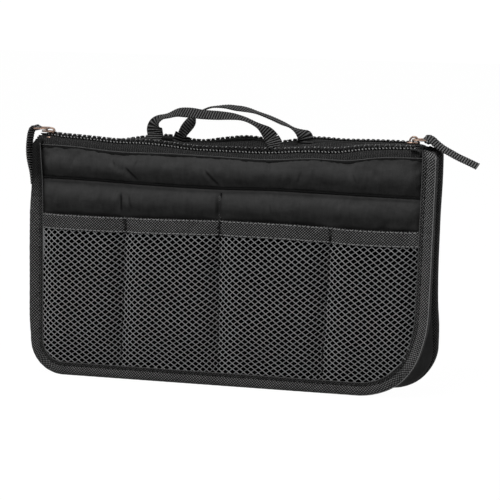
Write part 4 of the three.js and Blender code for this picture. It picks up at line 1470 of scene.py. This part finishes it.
class ORGANIZER_OT_sliders(bpy.types.Operator):
    """Makes each slider with its post and bail, and the wire ring that hangs in the bail."""

    bl_idname = "organizer.sliders"
    bl_label = "Sliders and rings"

    def execute(self, context):
        for names in SIDES:
            axis = joint_place(f"{names}_ring_flip")
            reach = joint_place(f"{names}_pull_lift")[0] - axis[0]
            self.slider(names, axis, np.sign(reach))
            self.ring(names, axis, reach)
        return {"FINISHED"}

    @staticmethod
    def slider(names, axis, tip):
        """Two plates, joined by a post at the end away from the ring, with the bail over the upper one."""
        low = face(f"{names}_slider", "Z", 0)
        high = axis[2] - 1.4
        shape = Shape()
        plate(shape, axis, 4.9, 3.7, high - 1.3, high, tip)
        plate(shape, axis, 4.7, 3.6, low, low + 1.2, tip)
        post = np.array([(axis[0] - tip * 3.4, axis[1], z) for z in np.linspace(low + 0.8, high - 0.8, 6)])
        shape.tube(along_path(post, ALONG_X, 0.9, 0.4, 12, 0.8))
        aside, tall = BAILS[names]
        bail = [(axis[0] + aside + across, axis[1], high + up) for across, up in (
            (-3.1, -0.7), (-2.7, tall / 2), (-0.9, tall), (0.9, tall), (2.7, tall / 2), (3.1, -0.7))]
        path, _ = spaced(bail, 0.35)
        shape.tube(along_path(path, LEVEL, 1.3, 0.65, 14, 0.8))
        shape.piece(f"{names}_slider_body", "copper", body=f"{names}_slider", replaces=(f"{names}_slider",))

    @staticmethod
    def ring(names, axis, reach):
        """Round wire along a rounded rectangle, from the flip's axle to the pull's bar."""
        turn = np.linspace(0, 2 * np.pi, 72, endpoint=False)
        half_long, half_wide, wire = abs(reach) / 2 + 0.05, 5.6, 0.62
        plan_x = axis[0] + reach / 2 + half_long * squared(np.cos(turn), 0.35)
        plan_y = axis[1] + half_wide * squared(np.sin(turn), 0.35)
        line = np.stack([plan_x, plan_y, np.full_like(plan_x, axis[2])], -1)
        up = np.array([0.0, 0.0, 1.0])
        aside = np.cross(unit(np.roll(line, -1, 0) - np.roll(line, 1, 0)), up)
        turn = around(10)
        points = (line[:, None] + wire * (aside[:, None] * np.cos(turn)[None, :, None]
                  + up[None, None] * np.sin(turn)[None, :, None]))
        Shape().tube(points, ring=True).piece(
            f"{names}_ring_wire", "copper", body=f"{names}_ring", replaces=(f"{names}_pull_ring",))


# Distance between a strap's sections, half the width of a pull and half the thickness of a handle
STRAP_STEP = 0.35
PULL_HALF = 4.6
HALF_THICK = 0.6
# Centre line of each webbing pull: round the ring's bar, then along its tongue
PULLS = {
    "front": (
        (-142.8, -10.6, 175.6), (-143.4, -10.6, 177.4), (-145.0, -10.6, 178.5), (-146.9, -10.7, 177.4),
        (-148.2, -10.8, 174.6), (-149.2, -11.0, 169.5), (-149.6, -11.4, 161.5), (-149.0, -12.0, 156.0),
        (-147.7, -13.0, 151.1), (-146.2, -14.0, 146.2), (-145.2, -15.0, 141.3), (-144.6, -15.6, 137.0)),
    "rear": (
        (136.8, 10.6, 175.2), (134.4, 10.6, 175.1), (132.5, 10.6, 176.8), (134.2, 10.6, 178.7),
        (137.4, 10.6, 177.6), (140.6, 10.6, 174.9), (144.2, 10.5, 172.4), (150.8, 10.4, 168.9),
        (156.4, 10.2, 166.1), (163.3, 10.0, 163.2), (170.2, 9.8, 160.2)),
}
# How far each pull is turned towards the viewer, in degrees, at distances along it
PULL_TILTS = {
    "front": [(0, 0), (7, 9), (15, 8), (30, 7), (42, 5), (60, 4)],
    "rear": [(0, 8), (5, 12), (10, 22), (24, 20), (60, 20)],
}
# Thickness added where the front pull's end is doubled over
PULL_ENDS = {"front": 0.8, "rear": 0.0}


class ORGANIZER_OT_pulls(bpy.types.Operator):
    """Makes the ribbed webbing pulls, folded round the rings' bars."""

    bl_idname = "organizer.pulls"
    bl_label = "Webbing pulls"

    def execute(self, context):
        for names in SIDES:
            path, along = spaced(PULLS[names], STRAP_STEP)
            tilt = np.radians(through(along, PULL_TILTS[names]))
            if names == "front":
                sideways = np.stack([-np.sin(tilt), -np.cos(tilt), 0 * tilt], -1)
            else:
                sideways = turned(path, tilt)
            thick = 0.33 + 0.33 * smooth(along) + PULL_ENDS[names] * (1 - smooth(along / 3.5))
            strap(path, along, sideways, PULL_HALF, thick, 0.35).piece(
                f"{names}_pull_strap", "webbing", body=f"{names}_pull", replaces=(f"{names}_webbing_pull",))
        return {"FINISHED"}


# Centre line of each handle's strap, from its left foot over the arch to its right one
HANDLES = {
    "front": ((-57.9, -3.0, 175.0), (-58.4, -3.2, 178.4), (-58.2, -3.5, 181.6), (-56.0, -4.2, 185.0),
              (-51.8, -4.8, 187.5), (-46.6, -5.3, 189.4), (-40.5, -6.0, 191.4), (-33.0, -6.6, 191.6),
              (-22.0, -6.8, 190.6), (-11.0, -6.8, 190.3), (0.0, -6.4, 189.8), (8.0, -6.0, 188.4),
              (15.0, -5.2, 185.4), (20.0, -4.6, 182.6), (24.4, -4.0, 178.9), (27.4, -3.4, 175.0)),
    "rear": ((-40.0, 3.0, 175.0), (-37.8, 3.5, 178.7), (-34.4, 4.2, 183.2), (-30.6, 5.0, 188.6),
             (-25.6, 5.6, 192.4), (-20.2, 6.0, 194.7), (-14.6, 6.4, 195.5), (-7.4, 6.6, 195.7),
             (-2.0, 6.6, 195.0), (3.6, 6.5, 194.4), (10.9, 6.2, 193.0), (18.3, 5.8, 191.0),
             (25.7, 5.4, 188.4), (33.1, 4.8, 185.4), (40.5, 4.2, 182.4), (46.2, 3.6, 179.4),
             (49.2, 3.2, 176.9), (50.0, 3.0, 174.6)),
}
# How far each strap is turned towards the viewer, in degrees, at shares of its length
HANDLE_TILTS = {
    "front": [(0, 90), (0.04, 90), (0.07, 66), (0.12, 30), (0.17, 14), (0.22, 20), (0.28, 27), (0.35, 31),
              (0.45, 28), (0.57, 26), (0.66, 18), (0.74, 7), (0.83, 3), (0.88, 10), (0.94, 34), (1, 50)],
    "rear": [(0, 44), (0.06, 52), (0.11, 48), (0.17, 12), (0.23, 4), (0.3, -1), (0.36, 4), (0.42, 9),
             (0.48, 12), (0.54, 8), (0.6, 1), (0.7, 2), (0.8, 2), (0.88, -2), (0.94, 24), (0.98, 62),
             (1, 84)],
}
# Where straps lap over the inner walls' edges: each lap's centre line and its turn in degrees
LAPS = {
    "front": (("left", ((-57.9, -3.2, 175.3), (-57.8, -5.0, 173.2), (-57.6, -6.9, 170.8)), 90.0),
              ("right", ((27.0, -3.4, 175.6), (29.2, -5.0, 172.9), (31.2, -6.9, 169.9)), 50.0)),
    "rear": (("left", ((-40.0, 3.0, 175.3), (-40.8, 2.0, 172.5), (-41.4, 1.2, 169.3)), 44.0),),
}


def turned(path, tilt):
    """Width directions of a strap: across its path, from level along Y, tilted up by an angle."""
    way = unit(np.gradient(path, axis=0))
    up = np.stack([-way[:, 2], 0 * way[:, 0], way[:, 0]], -1)
    return np.cos(tilt)[:, None] * LEVEL + np.sin(tilt)[:, None] * up


class ORGANIZER_OT_handles(bpy.types.Operator):
    """Makes the webbing handles: the legs face forwards, the strap turns over into the arch, and laps and
    sewn feet join it to the pouch."""

    bl_idname = "organizer.handles"
    bl_label = "Handles"

    def execute(self, context):
        half = sizes().webbing / 2
        for names, side in SIDES.items():
            self.arch(names, side, half)
            self.laps(names, half)
            for kind, x in (("left", HANDLES[names][0][0]), ("right", HANDLES[names][-1][0])):
                self.foot(names, kind, side, x, half)
        return {"FINISHED"}

    @staticmethod
    def arch(names, side, half):
        """The free part of a strap, from its left foot over the arch to its right one."""
        path, along = spaced(HANDLES[names], STRAP_STEP)
        tilt = np.radians(through(along / along[-1], HANDLE_TILTS[names]))
        arch = strap(path, along, turned(path, tilt), half, HALF_THICK).piece(
            f"{names}_handle_strap", "webbing", replaces=(f"{names}_handle",))
        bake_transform(arch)

    @staticmethod
    def laps(names, half):
        """The straps' ends that lap over the inner wall's edge."""
        for kind, lap, tilt in LAPS[names]:
            path, along = spaced(lap, STRAP_STEP)
            ways = turned(path, np.radians(np.full(len(path), tilt)))
            strap(path, along, ways, half, HALF_THICK).piece(
                f"{names}_{kind}_handle_lap", "webbing", body=f"{names}_pouch")

    @staticmethod
    def foot(names, kind, side, x, half):
        """A strap's sewn end, with two rows of stitches across it."""
        foot = [(x, side * HANDLE_DISTANCE, z) for z in np.linspace(SEWN_LOW, HANDLE_BASE - 0.3, 6)]
        path, along = spaced(foot, STRAP_STEP)
        strap(path, along, ALONG_X, half, HALF_THICK + 0.02).piece(
            f"{names}_{kind}_handle_foot", "webbing", body=f"{names}_pouch",
            replaces=(f"{names}_handle_{kind}_end",))
        sewn = Shape()
        ends = np.array([x - half + 1, x + half - 1])
        near = side * (HANDLE_DISTANCE - 0.8)
        for height in (SEWN_LOW + 2, SEWN_LOW + 13):
            line = np.stack([ends, np.full(2, near), np.full(2, height)], -1)
            stitches(sewn, line, -side * LEVEL, 1.8, 0.28)
        sewn.piece(f"{names}_{kind}_foot_stitches", "thread", body=f"{names}_pouch")


# Stage, camera and light

# The camera as fitted to the photograph's outlines: angles in degrees, lens and lengths in millimetres
CAMERA = {"azimuth": 13.606, "elevation": 8.626, "roll": 1.0, "lens": 131.41, "distance": 1295.3}
TARGET = (12.02, 0.0, 95.12)


class ORGANIZER_OT_stage(bpy.types.Operator):
    """Makes the floor, the soft lights and the camera at the photograph's angle."""

    bl_idname = "organizer.stage"
    bl_label = "Stage"

    def execute(self, context):
        scene = context.scene
        scene.view_settings.view_transform = "Standard"
        self.camera(scene)
        self.floor()
        self.world(scene)
        self.lamp("key", (-0.4, -1.1, 2.0), 0.9, 19.0)
        self.lamp("fill", (1.1, -1.6, 0.5), 1.0, 1.5)
        self.lamp("top", (0.1, 0.1, 1.9), 1.2, 6.0)
        return {"FINISHED"}

    @staticmethod
    def camera(scene):
        azimuth, elevation, roll = (np.radians(CAMERA[k]) for k in ("azimuth", "elevation", "roll"))
        back = np.array([np.sin(azimuth) * np.cos(elevation), -np.cos(azimuth) * np.cos(elevation),
                         np.sin(elevation)])
        right = np.array([np.cos(azimuth), np.sin(azimuth), 0.0])
        up = np.cross(back, right)
        turned_right = right * np.cos(roll) + up * np.sin(roll)
        turned_up = up * np.cos(roll) - right * np.sin(roll)
        spot = (np.array(TARGET) + back * CAMERA["distance"]) * MM
        data = bpy.data.cameras.new("camera")
        data.lens = CAMERA["lens"]
        data.sensor_width = 36
        data.clip_start, data.clip_end = 0.05, 30
        camera = bpy.data.objects.new("camera", data)
        scene.collection.objects.link(camera)
        camera.matrix_world = Matrix((
            (turned_right[0], turned_up[0], back[0], spot[0]),
            (turned_right[1], turned_up[1], back[1], spot[1]),
            (turned_right[2], turned_up[2], back[2], spot[2]), (0, 0, 0, 1)))
        scene.camera = camera

    @staticmethod
    def floor():
        half = 5.0
        mesh = bpy.data.meshes.new("floor")
        mesh.from_pydata([(-half, -half, 0), (half, -half, 0), (half, half, 0), (-half, half, 0)], [],
                         [(0, 1, 2, 3)])
        floor = bpy.data.objects.new("floor", mesh)
        bpy.context.scene.collection.objects.link(floor)
        paint = Finish("floor", 0.9, Base_Color=(0.6, 0.6, 0.6, 1), Specular_IOR_Level=0.0)
        white_if_seen(paint, paint.shader, "ShaderNodeEmission", "Material Output", 0.94)
        mesh.materials.append(paint.material)

    @staticmethod
    def world(scene):
        scene.world = scene.world or bpy.data.worlds.new("world")
        scene.world.use_nodes = True
        nodes = Nodes(scene.world.node_tree)
        sky = nodes.tree.nodes["Background"]
        sky.inputs["Color"].default_value = (1, 1, 1, 1)
        sky.inputs["Strength"].default_value = 0.16
        white_if_seen(nodes, sky, "ShaderNodeBackground", "World Output", 1.0)

    @staticmethod
    def lamp(name, spot, size, power):
        """A square lamp aimed at the organizer: its place and size in metres, and its power in watts."""
        data = bpy.data.lights.new(name, "AREA")
        data.size = size
        data.energy = power
        lamp = bpy.data.objects.new(name, data)
        bpy.context.scene.collection.objects.link(lamp)
        lamp.location = spot
        lamp.rotation_euler = (Vector(spot) - Vector((0, 0, 0.09))).to_track_quat("Z", "Y").to_euler()


def white_if_seen(nodes, shader, emitter, end, share):
    """Feeds the end node with a shader, and with a share of plain white where the camera, a reflection or
    clear glass looks straight at the surface."""
    rays = nodes.add("ShaderNodeLightPath").socket.node.outputs
    seen = Value(nodes, rays["Is Camera Ray"])
    for kind in ("Is Glossy Ray", "Is Transmission Ray"):
        seen = seen.math("MAXIMUM", Value(nodes, rays[kind]))
    white = nodes.add(emitter, None, Color=(1, 1, 1, 1), Strength=1.05)
    mixed = nodes.add("ShaderNodeMixShader", None, seen * share, Value(nodes, shader.outputs[0]), white)
    nodes.tree.links.new(mixed.socket, nodes.tree.nodes[end].inputs[0])


OPERATORS = (
    ORGANIZER_OT_padded_walls, ORGANIZER_OT_slip_pockets, ORGANIZER_OT_hems, ORGANIZER_OT_net_pocket,
    ORGANIZER_OT_flat_pocket, ORGANIZER_OT_bindings, ORGANIZER_OT_inner_walls, ORGANIZER_OT_gusset,
    ORGANIZER_OT_zips, ORGANIZER_OT_piping, ORGANIZER_OT_sliders, ORGANIZER_OT_pulls, ORGANIZER_OT_handles,
    ORGANIZER_OT_stage)


class ORGANIZER_PT_panel(bpy.types.Panel):
    """Lists the organizer's sizes, colours and pieces."""

    bl_label = "Organizer"
    bl_idname = "ORGANIZER_PT_panel"
    bl_space_type = "VIEW_3D"
    bl_region_type = "UI"
    bl_category = "Organizer"

    def draw(self, context):
        for group in (context.scene.organizer_sizes, context.scene.organizer_colours):
            box = self.layout.box()
            for name in group.__annotations__:
                box.prop(group, name)
        for operator in OPERATORS:
            self.layout.operator(operator.bl_idname)


CLASSES = (OrganizerSizes, OrganizerColours, *OPERATORS, ORGANIZER_PT_panel)


def register():
    for each in CLASSES:
        bpy.utils.register_class(each)
    bpy.types.Scene.organizer_sizes = bpy.props.PointerProperty(type=OrganizerSizes)
    bpy.types.Scene.organizer_colours = bpy.props.PointerProperty(type=OrganizerColours)


def unregister():
    del bpy.types.Scene.organizer_colours
    del bpy.types.Scene.organizer_sizes
    for each in reversed(CLASSES):
        bpy.utils.unregister_class(each)


def main():
    register()
    for operator in OPERATORS:
        group, name = operator.bl_idname.split(".")
        getattr(getattr(bpy.ops, group), name)()


if __name__ == "__main__":
    main()
